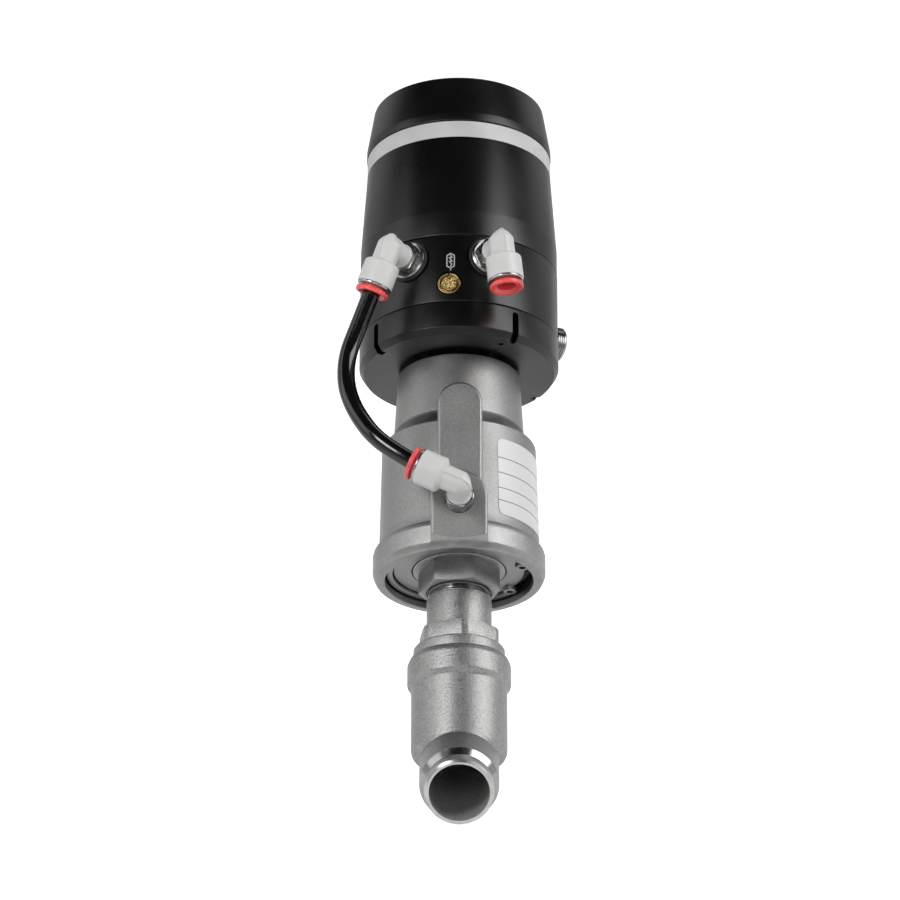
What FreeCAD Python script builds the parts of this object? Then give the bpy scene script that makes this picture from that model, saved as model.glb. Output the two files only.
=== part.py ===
import FreeCAD, Part
import math
import os

# Pneumatic angle seat control valve with a top-mounted positioner, in millimetres.
# Row frame: origin at the centre of the inlet weld end, +Y along the pipe to the outlet, +Z up.
# Every piece is drawn in the stem frame (origin where the stem axis meets the pipe axis, Z up
# the stem, -Y the side with the air fittings) and placed in the row frame when it is written.
# Heights are stacked from the pipe axis upwards, and radii outwards from the bores.

# Pipe ends, DN 20 weld ends for 23 x 1.5 tube
BORE_R = 10.0
BORE_DEPTH = 12.0
BORE_RELIEF = 0.3
WELD_WALL = 1.5
CAST_WALL = 1.65
FACE_TO_FACE = 85.0
INLET_TO_STEM = 29.5
STEM_LEAN_DEG = 45.0
WELD_STUB = 5.5
WELD_TAPER = 1.75
WELD_EDGE = 0.75
PASSAGE_R = BORE_R + BORE_RELIEF
WELD_R = BORE_R + WELD_WALL
CAST_PIPE_R = WELD_R + CAST_WALL

# Stem, seat and plug
STEM_R = 4.5
STEM_FOOT_STEP = 1.5
STEM_TOP_STEP = 1.0
STEM_FOOT_END = 0.8
ORIFICE_R = 9.0
SEAT_PLATE = 2.5
SEAT_HEIGHT = 6.0
SEAT_LIP_W = 1.2
SEAT_LIP_H = 0.8
SEAT_GAP = 0.05
SEAL_OVERLAP = 1.8
SEAL_W = 4.0
SEAL_H = 2.6
PLUG_RIM = 1.1
PLUG_H = 7.0
PLUG_EDGE_H = 3.0
PLUG_EDGE_W = 3.5
PLUG_WEB = 4.0
WASHER_INSET = 0.8
WASHER_H = 1.5
FOOT_NUT_FLATS = 10.0
FOOT_NUT_H = 3.0
STEM_FOOT_R = STEM_R - STEM_FOOT_STEP
STEM_TOP_R = STEM_R - STEM_TOP_STEP
SEAT_LIP_R = ORIFICE_R + SEAT_LIP_W
SEAL_OUT_R = ORIFICE_R + SEAL_OVERLAP
SEAL_IN_R = SEAL_OUT_R - SEAL_W
PLUG_R = SEAL_OUT_R + PLUG_RIM
WASHER_R = ORIFICE_R - WASHER_INSET

# Valve body, heights up the stem axis
PLUG_ROOM = 1.1
BARREL_WALL = 3.0
BARREL_BOTTOM = 2.3
BARREL_ROUND = 4.0
BARREL_TOP = 24.0
COLLAR_STEP = 1.3
COLLAR_LEAD = 1.4
COLLAR_H = 9.0
COLLAR_EDGE = 0.9
COLLAR_STEP_H = 2.2
BODY_THREAD_WALL = 1.0
BODY_THREAD_DEPTH = 7.4
CHAMBER_R = PLUG_R + PLUG_ROOM
BARREL_R = CHAMBER_R + BARREL_WALL
COLLAR_R = BARREL_R + COLLAR_STEP
COLLAR_STEP_R = COLLAR_R - COLLAR_EDGE
COLLAR_BOTTOM = BARREL_TOP + COLLAR_LEAD
COLLAR_TOP = COLLAR_BOTTOM + COLLAR_H
BODY_THREAD_R = CHAMBER_R + BODY_THREAD_WALL
BODY_THREAD_BOTTOM = COLLAR_TOP - BODY_THREAD_DEPTH

# Bonnet
GASKET_H = 0.8
BONNET_FLANGE_INSET = 2.0
BONNET_FLANGE_H = 3.9
BONNET_HEX_FLATS = 25.0
BONNET_CORNER = 1.3
BONNET_HEX_H = 6.4
BONNET_HEX_TURN = 8.0
NECK_H = 12.4
NECK_STEP = 0.7
PACKING_WALL = 3.5
PACKING_TUBE_WALL = 2.2
PACKING_RISE = 2.6
PACKING_SPRING_H = 9.0
PACKING_SPRING_WIRE_R = 0.8
PACKING_SPRING_TURNS = 4
PACKING_RINGS = 4
PACKING_RING_H = 2.2
GUIDE_BUSH_WALL = 0.9
BONNET_FLANGE_R = COLLAR_R - BONNET_FLANGE_INSET
BONNET_FLANGE_TOP = COLLAR_TOP + BONNET_FLANGE_H
BONNET_HEX_TOP = BONNET_FLANGE_TOP + BONNET_HEX_H
BONNET_CORNER_R = BONNET_HEX_FLATS / 2 + BONNET_CORNER
NECK_TOP = BONNET_HEX_TOP + NECK_H
PACKING_R = STEM_R + PACKING_WALL
BONNET_SPIGOT_R = PACKING_R + PACKING_TUBE_WALL
NECK_R = BONNET_SPIGOT_R + NECK_STEP
PACKING_BOTTOM = COLLAR_TOP + PACKING_RISE

# Coupling nut under the actuator
COUPLING_GAP = 1.7
COUPLING_HEX_H = 7.6
COUPLING_HEX_WALL = 1.6
COUPLING_CORNER = 1.7
COUPLING_SPIGOT_H = 9.6
COUPLING_SPIGOT_WALL = 2.5
STEM_SEAL_W = 2.5
STEM_SEAL_H = 2.4
LOCK_NUT_FLATS = 24.0
LOCK_NUT_H = 3.5
COUPLING_BOTTOM = NECK_TOP + COUPLING_GAP
COUPLING_HEX_TOP = COUPLING_BOTTOM + COUPLING_HEX_H
COUPLING_TOP = COUPLING_HEX_TOP + COUPLING_SPIGOT_H
COUPLING_HEX_FLATS = 2 * (BONNET_SPIGOT_R + COUPLING_HEX_WALL)
COUPLING_CORNER_R = COUPLING_HEX_FLATS / 2 + COUPLING_CORNER
STEM_SEAL_R = STEM_R + STEM_SEAL_W
COUPLING_SPIGOT_R = STEM_SEAL_R + COUPLING_SPIGOT_WALL

# Actuator cylinder, outside
RIM_DROP = 2.9
RIM_H = 9.5
RIM_BLEND_H = 4.2
CYLINDER_H = 33.8
ACTUATOR_NECK_H = 27.7
SHOULDER_H = 6.6
CYLINDER_BOTTOM_R = 26.8
CYLINDER_DRAFT = 0.8
RIM_STEP = 2.2
RIM_BOTTOM_INSET = 1.1
RIM_SHOULDER_INSET = 0.3
SHOULDER_INSET = 2.8
NECK_INSET = 1.1
NECK_DRAFT = 1.4
ACTUATOR_SPIGOT_R = 12.0
UPPER_PAD_PROUD = 1.0
UPPER_PAD_W = 14.0
UPPER_PAD_RISE = 14.4
LOWER_PAD_PROUD = 0.6
LOWER_PAD_W = 19.0
LOWER_PAD_RISE = 14.3
PORT_DROP = 11.3
RIM_BOTTOM = COUPLING_HEX_TOP - RIM_DROP
RIM_SHOULDER = RIM_BOTTOM + RIM_H
CYLINDER_BOTTOM = RIM_SHOULDER + RIM_BLEND_H
CYLINDER_TOP = CYLINDER_BOTTOM + CYLINDER_H
ACTUATOR_TOP = CYLINDER_TOP + ACTUATOR_NECK_H
CYLINDER_TOP_R = CYLINDER_BOTTOM_R - CYLINDER_DRAFT
RIM_R = CYLINDER_BOTTOM_R + RIM_STEP
RIM_BOTTOM_R = RIM_R - RIM_BOTTOM_INSET
RIM_SHOULDER_R = RIM_R - RIM_SHOULDER_INSET
SHOULDER_R = CYLINDER_TOP_R - SHOULDER_INSET
ACTUATOR_NECK_R = SHOULDER_R - NECK_INSET
ACTUATOR_NECK_TOP_R = ACTUATOR_NECK_R - NECK_DRAFT
UPPER_PAD_FLAT = CYLINDER_TOP_R + UPPER_PAD_PROUD
UPPER_PAD_TOP = CYLINDER_TOP + UPPER_PAD_RISE
LOWER_PAD_FLAT = RIM_R + LOWER_PAD_PROUD
LOWER_PAD_TOP = CYLINDER_BOTTOM + LOWER_PAD_RISE
ACTUATOR_PORT_HEIGHT = LOWER_PAD_TOP - PORT_DROP

# Blank label on the right of the cylinder
LABEL_LIFT = 0.8
LABEL_DROP = 4.8
LABEL_THICKNESS = 0.2
LABEL_TURN = 29.5
LABEL_SPAN_DEG = 88.0
LABEL_BOTTOM = CYLINDER_BOTTOM + LABEL_LIFT
LABEL_TOP = CYLINDER_TOP - LABEL_DROP

# Actuator, inside
CYLINDER_WALL = 2.0
PISTON_BORE_CAP = 1.8
SPRING_WALL = 2.1
SPRING_BORE_CAP = 5.2
END_COVER_RISE = 3.7
END_COVER_H = 4.8
COVER_RECESS = 1.5
OPENING_STEP = 0.9
SNAP_RING_H = 1.2
SNAP_RING_DEPTH = 1.0
SNAP_RING_W = 3.0
SNAP_RING_EAR_IN = 4.1
SNAP_RING_GAP_DEG = 52.0
SNAP_RING_EAR_R = 2.7
SNAP_RING_HOLE_R = 1.2
SNAP_RING_TURN = 2.0
COUPLING_FLANGE_ROOM = 2.4
ORING_D = 2.4
SPINDLE_SEAL_DEPTH = 1.6
PISTON_BORE_R = CYLINDER_TOP_R - CYLINDER_WALL
PISTON_BORE_TOP = CYLINDER_TOP - PISTON_BORE_CAP
SPRING_BORE_R = ACTUATOR_NECK_TOP_R - SPRING_WALL
SPRING_BORE_TOP = ACTUATOR_TOP - SPRING_BORE_CAP
END_COVER_BOTTOM = RIM_BOTTOM + END_COVER_RISE
OPENING_R = PISTON_BORE_R + OPENING_STEP
SNAP_RING_OUT_R = OPENING_R + SNAP_RING_DEPTH
SNAP_RING_IN_R = SNAP_RING_OUT_R - SNAP_RING_W
SNAP_RING_EAR_AT_R = OPENING_R - SNAP_RING_EAR_IN
COUPLING_FLANGE_R = SNAP_RING_EAR_AT_R - SNAP_RING_EAR_R - COUPLING_FLANGE_ROOM

# Piston and spring
STROKE = 10.0
PISTON_LIFT = 12.0
PISTON_H = 8.0
HUB_FOOT_H = 3.8
HUB_HEAD_H = 1.0
HUB_R = 8.0
PISTON_EDGE = 0.5
PISTON_GROOVE_W = 2.8
PISTON_GROOVE_H = 3.0
SPRING_SEAT_H = 3.0
SPRING_SEAT_GAP = 1.0
PISTON_NUT_FLATS = 13.0
PISTON_NUT_H = 4.5
STEM_OVER_NUT = 2.0
SPRING_INSET = 3.8
SPRING_WIRE_R = 1.6
SPRING_TURNS = 6
SPINDLE_R = 3.0
SPINDLE_FOOT_R = 2.0
SPINDLE_FOOT_L = 6.0
SPINDLE_FOOT_END = 0.3
MAGNET_WALL = 0.6
MAGNET_H = 7.0
PISTON_BOTTOM = COUPLING_TOP + PISTON_LIFT
PISTON_TOP = PISTON_BOTTOM + PISTON_H
HUB_BOTTOM = PISTON_BOTTOM - HUB_FOOT_H
HUB_TOP = PISTON_TOP + HUB_HEAD_H
PISTON_GROOVE_R = PISTON_BORE_R - PISTON_GROOVE_W
SPRING_MEAN_R = SPRING_BORE_R - SPRING_INSET
MAGNET_R = SPINDLE_R + MAGNET_WALL

# Positioner shells, radii from the housing
HOUSING_R = 33.75
HOUSING_WALL = 8.2
BASE_STEP = 0.15
BASE_CHAMFER_H = 2.2
BASE_CHAMFER_W = 1.5
COVER_STEP = 0.1
COVER_TAPER = 2.1
CAP_STEP = 0.2
CAP_TAPER = 2.55
BASE_GAP = 1.5
BASE_H = 11.7
BASE_FLOOR = 4.2
BASE_RECESS = 1.4
HOUSING_H = 25.1
COVER_BAND_H = 9.0
COVER_CONE_H = 29.6
SHELL_WALL = 2.6
LIP_H = 3.0
LIP_WALL = 2.0
LIGHT_RING_H = 6.1
LIGHT_RING_WALL = 3.6
LIGHT_RING_LIP = 1.2
CAP_BAND_H = 3.2
CAP_H = 18.3
CAP_WALL = 2.6
CAP_SKIRT_WALL = 2.4
CAP_ROUND = 0.8
PART_LINE = 0.25
EDGE = 0.3
SLOT_W = 2.5
SLOT_DEPTH = 3.4
SLOT_DROP = 1.5
SLOT_COUNT = 4
SLOT_TURN = 34.2
VENT_R = 0.9
VENT_IN = 5.7
VENT_DEPTH = 2.5
VENT_TURN = 30.0
BASE_SCREWS = 4
BASE_SCREW_OUT = 3.5
BASE_SCREW_R = 1.5
BASE_SCREW_REACH = 4.0
BASE_SCREW_HEAD_R = 2.75
BASE_SCREW_HEAD_H = 2.4
BASE_SCREW_SOCKET_R = 1.2
BASE_R = HOUSING_R + BASE_STEP
BASE_BOTTOM_R = BASE_R - BASE_CHAMFER_W
COVER_R = HOUSING_R - COVER_STEP
COVER_TOP_R = COVER_R - COVER_TAPER
CAP_R = COVER_TOP_R + CAP_STEP
CAP_TOP_R = CAP_R - CAP_TAPER
BASE_BOTTOM = ACTUATOR_TOP + BASE_GAP
HOUSING_BOTTOM = BASE_BOTTOM + BASE_H
HOUSING_TOP = HOUSING_BOTTOM + HOUSING_H
COVER_CONE_BOTTOM = HOUSING_TOP + COVER_BAND_H
COVER_TOP = COVER_CONE_BOTTOM + COVER_CONE_H
LIGHT_RING_TOP = COVER_TOP + LIGHT_RING_H
CAP_TOP = LIGHT_RING_TOP + CAP_H
SLOT_TOP = HOUSING_BOTTOM - SLOT_DROP
VENT_AT_R = BASE_R - VENT_IN
BASE_SCREW_AT_R = ACTUATOR_SPIGOT_R + BASE_SCREW_OUT

# Things on the positioner housing
FITTING_DROP = 8.3
OUTLET_TURN = -30.0
SUPPLY_TURN = 17.6
OUTLET_ARM_TURN = 23.7
SUPPLY_ARM_TURN = -6.3
ACTUATOR_ARM_TURN = 115.6
SILENCER_TURN = -5.8
SILENCER_RISE = 6.9
SILENCER_R = 3.85
SILENCER_CORE_R = 2.7
SILENCER_GROOVE = 0.5
SILENCER_SLOT_W = 1.0
SILENCER_SLOT_DEPTH = 1.2
SILENCER_LENGTH = 6.0
SILENCER_SINK = 0.5
SILENCER_RIM = 0.3
CONNECTOR_TURN = 116.0
CONNECTOR_RISE = 8.1
CONNECTOR_R = 6.0
CONNECTOR_REAR_STEP = 1.0
CONNECTOR_TAIL = 2.0
CONNECTOR_RELIEF = 0.5
CONNECTOR_REACH = 5.0
CONNECTOR_EDGE = 0.6
CONNECTOR_WALL = 1.6
CONNECTOR_INSERT_BOTTOM = 4.0
CONNECTOR_INSERT_TOP = 1.0
CONNECTOR_PIN_R = 0.5
CONNECTOR_PINS = 4
CONNECTOR_PIN_IN = 2.1
CONNECTOR_PIN_END = 1.4
FITTING_HEIGHT = HOUSING_TOP - FITTING_DROP
SILENCER_HEIGHT = HOUSING_BOTTOM + SILENCER_RISE
CONNECTOR_HEIGHT = HOUSING_BOTTOM + CONNECTOR_RISE
CONNECTOR_REAR_R = CONNECTOR_R - CONNECTOR_REAR_STEP
CONNECTOR_BORE_R = CONNECTOR_R - CONNECTOR_WALL
CONNECTOR_PIN_AT_R = CONNECTOR_BORE_R - CONNECTOR_PIN_IN

# Things in the positioner
SENSOR_ROOM = 0.6
SENSOR_WALL = 3.3
SENSOR_RISE = 6.1
SENSOR_OVER = 8.0
MANIFOLD_RISE = 12.1
MANIFOLD_H = 8.0
MANIFOLD_ROOM = 0.3
VALVE_BLOCK_SIZE = (9.0, 10.0, 16.0)
VALVE_BLOCK_IN = 8.75
VALVE_BLOCK_ROUND = 0.8
BOARD_ROOM = 5.05
BOARD_H = 1.6
BOARD_DROP = 19.6
STANDOFF_R = 2.5
STANDOFF_NECK_R = 1.5
STANDOFF_IN = 6.0
STANDOFF_COUNT = 3
PANEL_H = 2.0
PANEL_RISE = 0.6
PANEL_ROOM = 0.3
DISPLAY_SIZE = (26.0, 14.0, 0.8)
DISPLAY_OFFSET = 6.0
KEY_R = 3.2
KEY_H = 0.5
KEY_SPACING = 12.0
KEY_OFFSET = -11.0
SPINDLE_REACH = 4.0
SENSOR_BORE_R = MAGNET_R + SENSOR_ROOM
SENSOR_R = SENSOR_BORE_R + SENSOR_WALL
SENSOR_BOTTOM = HOUSING_BOTTOM + SENSOR_RISE
MANIFOLD_BOTTOM = HOUSING_BOTTOM + MANIFOLD_RISE
MANIFOLD_R = HOUSING_R - HOUSING_WALL - MANIFOLD_ROOM
VALVE_BLOCK_AT_R = MANIFOLD_R - VALVE_BLOCK_IN
BOARD_R = COVER_R - SHELL_WALL - BOARD_ROOM
BOARD_BOTTOM = COVER_TOP - BOARD_DROP
STANDOFF_AT_R = BOARD_R - STANDOFF_IN
PANEL_BOTTOM = COVER_TOP + PANEL_RISE
SPINDLE_TOP = MANIFOLD_BOTTOM + SPINDLE_REACH
SENSOR_TOP = SPINDLE_TOP + STROKE + SENSOR_OVER

# Push-in elbow fittings, measured from the surface they screw into
TUBE_R = 3.0
FIT_BORE_GAP = 0.1
STUD_THREAD_R = 4.85
STUD_THREAD_L = 5.4
STUD_THREAD_EDGE = 0.4
STUD_SEAL_R = 7.3
STUD_SEAL_H = 1.0
STUD_FLANGE_R = 6.6
STUD_FLANGE_H = 0.9
STUD_FLANGE_EDGE = 0.2
STUD_HEX_FLATS = 11.6
STUD_HEX_CORNER = 0.7
STUD_HEX_H = 2.9
STUD_HEX_TURN = 12.0
STUD_NECK_R = 2.9
STUD_NECK_L = 3.2
STUD_PASSAGE_R = 1.8
PORT_DEPTH = 8.0
PLAIN_STUD_FLATS = 9.0
PLAIN_STUD_CORNER = 0.4
ELBOW_FOOT_STEP = 0.6
ELBOW_FOOT_H = 1.4
ELBOW_LEG_R = 3.8
ELBOW_ARM_STEP = 0.4
ELBOW_HEIGHT = 13.1
ELBOW_APEX = 4.4
ELBOW_TIP_HALF = 0.5
ELBOW_HAUNCH = 1.4
ELBOW_HAUNCH_STEP = 0.5
ELBOW_BEVEL_DEG = 48.0
SLEEVE_STEP = 1.85
SLEEVE_START = 6.4
SLEEVE_NECK = 1.3
SLEEVE_ROUND = 0.8
SLEEVE_L = 7.9
TUBE_STOP = 6.9
SLEEVE_WALL = 1.3
SLEEVE_CAVITY_START = 8.0
FIT_COLLAR_STEP = 0.2
FIT_COLLAR_H = 0.9
FIT_COLLAR_TAIL = 3.6
RING_NECK_WALL = 0.85
RING_NECK_ROOM = 0.08
RING_NECK_START = 3.0
RING_STEP = 0.25
RING_H = 1.3
RING_TRAVEL = 0.8
RING_STOP_GAP = 0.1
FIT_BORE_R = TUBE_R + FIT_BORE_GAP
STUD_HEX_CORNER_R = STUD_HEX_FLATS / 2 + STUD_HEX_CORNER
PLAIN_STUD_CORNER_R = PLAIN_STUD_FLATS / 2 + PLAIN_STUD_CORNER
ELBOW_FOOT_R = ELBOW_LEG_R + ELBOW_FOOT_STEP
ELBOW_ARM_R = ELBOW_LEG_R + ELBOW_ARM_STEP
SLEEVE_R = ELBOW_ARM_R + SLEEVE_STEP
SLEEVE_END = SLEEVE_START + SLEEVE_L
SLEEVE_CAVITY_R = SLEEVE_R - SLEEVE_WALL
FIT_COLLAR_R = SLEEVE_R - FIT_COLLAR_STEP
FIT_COLLAR_END = SLEEVE_END + FIT_COLLAR_H
RING_NECK_R = FIT_BORE_R + RING_NECK_WALL
FIT_COLLAR_IN_R = RING_NECK_R + RING_NECK_ROOM
RING_NECK_END = TUBE_STOP + RING_NECK_START
RING_R = FIT_COLLAR_R - RING_STEP
RING_BACK = FIT_COLLAR_END + RING_TRAVEL + RING_STOP_GAP
RING_FRONT = RING_BACK + RING_H

# Air tube from the outlet elbow to the actuator elbow, stem frame; ends sit in the elbows
TUBE_START = 7.0
TUBE_OUTLET_RUN = 20.0
TUBE_ACTUATOR_RUN = 20.0
TUBE_MIDDLE = [(-38.5, -33.0, 129.0), (-36.5, -37.0, 111.5)]
ARC_SHARE = 0.45

# Clearances
THREAD_GAP = 0.05
SLIDE_GAP = 0.06
PISTON_GAP = 0.1
MOUTH = 0.5
TOUCH = 0.02
SHOULDER_GAP = 0.2
FAR = 200.0

V = FreeCAD.Vector
UP = V(0, 0, 1)
ORIGIN = V(0, 0, 0)
LEAN = math.radians(STEM_LEAN_DEG)
STEM_TO_ROW = FreeCAD.Placement(
    V(0, INLET_TO_STEM, 0), FreeCAD.Rotation(V(1, 0, 0), STEM_LEAN_DEG - 90)
)
ROW_TO_STEM = STEM_TO_ROW.inverse()


def placed(shape, placement):
    """A copy of the shape moved by the placement."""
    moved = shape.copy()
    moved.Placement = placement.multiply(moved.Placement)
    return moved


def turned_by(shape, degrees):
    """A copy turned about the stem axis; positive goes from the front to the right."""
    return placed(shape, FreeCAD.Placement(ORIGIN, FreeCAD.Rotation(UP, degrees)))


def outline(corners):
    """A closed wire in the XZ plane through (radius, height) corners, each with an optional round."""
    points = [V(c[0], 0, c[1]) for c in corners]
    rounds = [c[2] if len(c) > 2 else 0.0 for c in corners]
    count = len(points)
    entries, exits, middles = [], [], []
    for i, point in enumerate(points):
        back = (points[i - 1] - point).normalize()
        ahead = (points[(i + 1) % count] - point).normalize()
        if rounds[i] == 0.0:
            entries.append(point)
            exits.append(point)
            middles.append(None)
            continue
        half = back.getAngle(ahead) / 2
        reach = rounds[i] / math.tan(half)
        inward = (back + ahead).normalize()
        entries.append(point + back * reach)
        exits.append(point + ahead * reach)
        middles.append(point + inward * (rounds[i] / math.sin(half) - rounds[i]))
    edges = []
    for i in range(count):
        if middles[i] is not None:
            edges.append(Part.Arc(entries[i], middles[i], exits[i]).toShape())
        start, end = exits[i], entries[(i + 1) % count]
        if start.distanceToPoint(end) > 1e-6:
            edges.append(Part.LineSegment(start, end).toShape())
    return Part.Wire(Part.__sortEdges__(edges))


def turned(corners):
    """A solid of revolution about Z from a closed (radius, height) profile."""
    return Part.Face(outline(corners)).revolve(ORIGIN, UP, 360)


def rod(radius, bottom, top):
    return Part.makeCylinder(radius, top - bottom, V(0, 0, bottom))


def tube(outer, inner, bottom, top):
    return rod(outer, bottom, top).cut(rod(inner, bottom - MOUTH, top + MOUTH))


def hexagon(flats, bottom, top, corner_r, turn=0.0):
    """A hexagonal prism with a flat to the front, its corners turned down to corner_r."""
    reach = flats / math.sqrt(3)
    ring = [
        V(reach * math.cos(math.radians(60 * k)), reach * math.sin(math.radians(60 * k)), bottom)
        for k in range(7)
    ]
    prism = Part.Face(Part.makePolygon(ring)).extrude(V(0, 0, top - bottom))
    slope = corner_r - flats / 2
    edge = slope * 0.4
    limit = turned(
        [
            (0, bottom),
            (corner_r - slope, bottom),
            (corner_r, bottom + edge),
            (corner_r, top - edge),
            (corner_r - slope, top),
            (0, top),
        ]
    )
    return turned_by(prism.common(limit), turn)


def block(size, centre):
    """A box of the given size about its centre."""
    corner = V(*centre) - V(*size) * 0.5
    return Part.makeBox(size[0], size[1], size[2], corner)


def round_ring(mean_r, wire_r, height):
    """An O-ring of round section about Z."""
    return Part.makeTorus(mean_r, wire_r, V(0, 0, height))


def coil(mean_r, wire_r, bottom, top, turns):
    """A helical spring between two heights, wire resting inside them."""
    height = top - bottom - 2 * wire_r
    helix = Part.makeHelix(height / turns, height, mean_r)
    circle = Part.Circle(V(mean_r, 0, 0), V(0, 1, 0), wire_r)
    section = Part.Wire([circle.toShape()])
    spring = Part.Wire(helix.Edges).makePipeShell([section], True, True)
    spring.translate(V(0, 0, bottom + wire_r))
    return spring


def on_wall(turn, height, distance, arm_turn=0.0):
    """Placement on a wall: Z points outwards, X down the stem until arm_turn swings it to the left."""
    facing = FreeCAD.Rotation(UP, turn).multiply(
        FreeCAD.Rotation(V(0, 0, -1), V(1, 0, 0), V(0, -1, 0), "ZXY")
    )
    spin = FreeCAD.Rotation(UP, -arm_turn)
    angle = math.radians(turn)
    spot = V(math.sin(angle) * distance, -math.cos(angle) * distance, height)
    return FreeCAD.Placement(spot, facing.multiply(spin))


def along_pipe(shape):
    """Lays a shape drawn about Z along the pipe, its Z = 0 at the inlet end."""
    return placed(shape, ROW_TO_STEM.multiply(FreeCAD.Placement(ORIGIN, FreeCAD.Rotation(V(1, 0, 0), -90))))


def slab(bottom, top):
    """A wide slice of space between two heights up the stem."""
    return block((FAR, FAR, top - bottom), (0, 0, (top + bottom) / 2))


SEAL_FACE = SEAT_HEIGHT + SEAT_LIP_H + SEAT_GAP
BONNET_BOTTOM = BODY_THREAD_BOTTOM + GASKET_H
PLUG_SHOULDER = SEAL_FACE + PLUG_WEB
STEM_TOP = HUB_TOP + PISTON_NUT_H + STEM_OVER_NUT
SPINDLE_HOLE_R = SPINDLE_R + SLIDE_GAP


# Valve body and seat


def body_outside():
    barrel = turned(
        [
            (0, BARREL_BOTTOM - BARREL_ROUND),
            (BARREL_R, BARREL_BOTTOM - BARREL_ROUND, BARREL_ROUND),
            (BARREL_R, BARREL_TOP, 0.8),
            (COLLAR_R, COLLAR_BOTTOM, 0.8),
            (COLLAR_R, COLLAR_TOP - COLLAR_STEP_H, 0.5),
            (COLLAR_STEP_R, COLLAR_TOP, 0.3),
            (0, COLLAR_TOP),
        ]
    )
    end = FACE_TO_FACE
    taper = WELD_STUB + WELD_TAPER
    pipe = turned(
        [
            (0, 0),
            (WELD_R - WELD_EDGE, 0),
            (WELD_R, WELD_EDGE),
            (WELD_R, WELD_STUB),
            (CAST_PIPE_R, taper),
            (CAST_PIPE_R, end - taper),
            (WELD_R, end - WELD_STUB),
            (WELD_R, end - WELD_EDGE),
            (WELD_R - WELD_EDGE, end),
            (0, end),
        ]
    )
    return barrel.fuse(along_pipe(pipe))


def valve_body():
    ends = rod(BORE_R, -MOUTH, BORE_DEPTH + TOUCH)
    ends = ends.fuse(rod(BORE_R, FACE_TO_FACE - BORE_DEPTH - TOUCH, FACE_TO_FACE + MOUTH))
    passage = along_pipe(rod(PASSAGE_R, BORE_DEPTH, FACE_TO_FACE - BORE_DEPTH))
    plate_bottom = SEAT_HEIGHT - SEAT_PLATE
    body = body_outside().cut(along_pipe(ends))
    body = body.cut(passage.common(slab(-FAR, plate_bottom)))
    body = body.cut(passage.common(slab(SEAT_HEIGHT, FAR)))
    body = body.cut(rod(ORIFICE_R, plate_bottom - TOUCH, SEAT_HEIGHT + TOUCH))
    body = body.cut(rod(CHAMBER_R, SEAT_HEIGHT, BODY_THREAD_BOTTOM + TOUCH))
    body = body.cut(rod(BODY_THREAD_R, BODY_THREAD_BOTTOM, COLLAR_TOP + MOUTH))
    lip = tube(SEAT_LIP_R, ORIFICE_R, SEAT_HEIGHT - TOUCH, SEAT_HEIGHT + SEAT_LIP_H)
    return body.fuse(lip).removeSplitter()


def plug():
    top = SEAL_FACE + PLUG_H
    shape = turned([(0, SEAL_FACE), (PLUG_R, SEAL_FACE), (PLUG_R, top - PLUG_EDGE_H), (PLUG_R - PLUG_EDGE_W, top), (0, top)])
    shape = shape.cut(tube(SEAL_OUT_R, SEAL_IN_R, SEAL_FACE - MOUTH, SEAL_FACE + SEAL_H))
    shape = shape.cut(rod(STEM_FOOT_R + THREAD_GAP, SEAL_FACE - MOUTH, top))
    return shape.cut(rod(STEM_R + THREAD_GAP, PLUG_SHOULDER, top + MOUTH))


def plug_seal():
    return tube(SEAL_OUT_R - THREAD_GAP, SEAL_IN_R + THREAD_GAP, SEAL_FACE, SEAL_FACE + SEAL_H)


def plug_nut():
    """The flanged nut that clamps the seal against the plug."""
    top = SEAL_FACE - WASHER_H
    nut = hexagon(FOOT_NUT_FLATS, top - FOOT_NUT_H, top + TOUCH, FOOT_NUT_FLATS * 0.56)
    nut = nut.fuse(rod(WASHER_R, top, SEAL_FACE))
    return nut.cut(rod(STEM_FOOT_R + THREAD_GAP, 0, SEAL_FACE + MOUTH))


def stem():
    bottom = SEAL_FACE - WASHER_H - FOOT_NUT_H - STEM_FOOT_END
    return turned(
        [
            (0, bottom),
            (STEM_FOOT_R - 0.5, bottom),
            (STEM_FOOT_R, bottom + 0.5),
            (STEM_FOOT_R, PLUG_SHOULDER),
            (STEM_R, PLUG_SHOULDER),
            (STEM_R, HUB_BOTTOM),
            (STEM_TOP_R, HUB_BOTTOM),
            (STEM_TOP_R, STEM_TOP),
            (SPINDLE_FOOT_R + THREAD_GAP, STEM_TOP),
            (SPINDLE_FOOT_R + THREAD_GAP, STEM_TOP - SPINDLE_FOOT_L),
            (0, STEM_TOP - SPINDLE_FOOT_L),
        ]
    )


# Bonnet and packing


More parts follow.
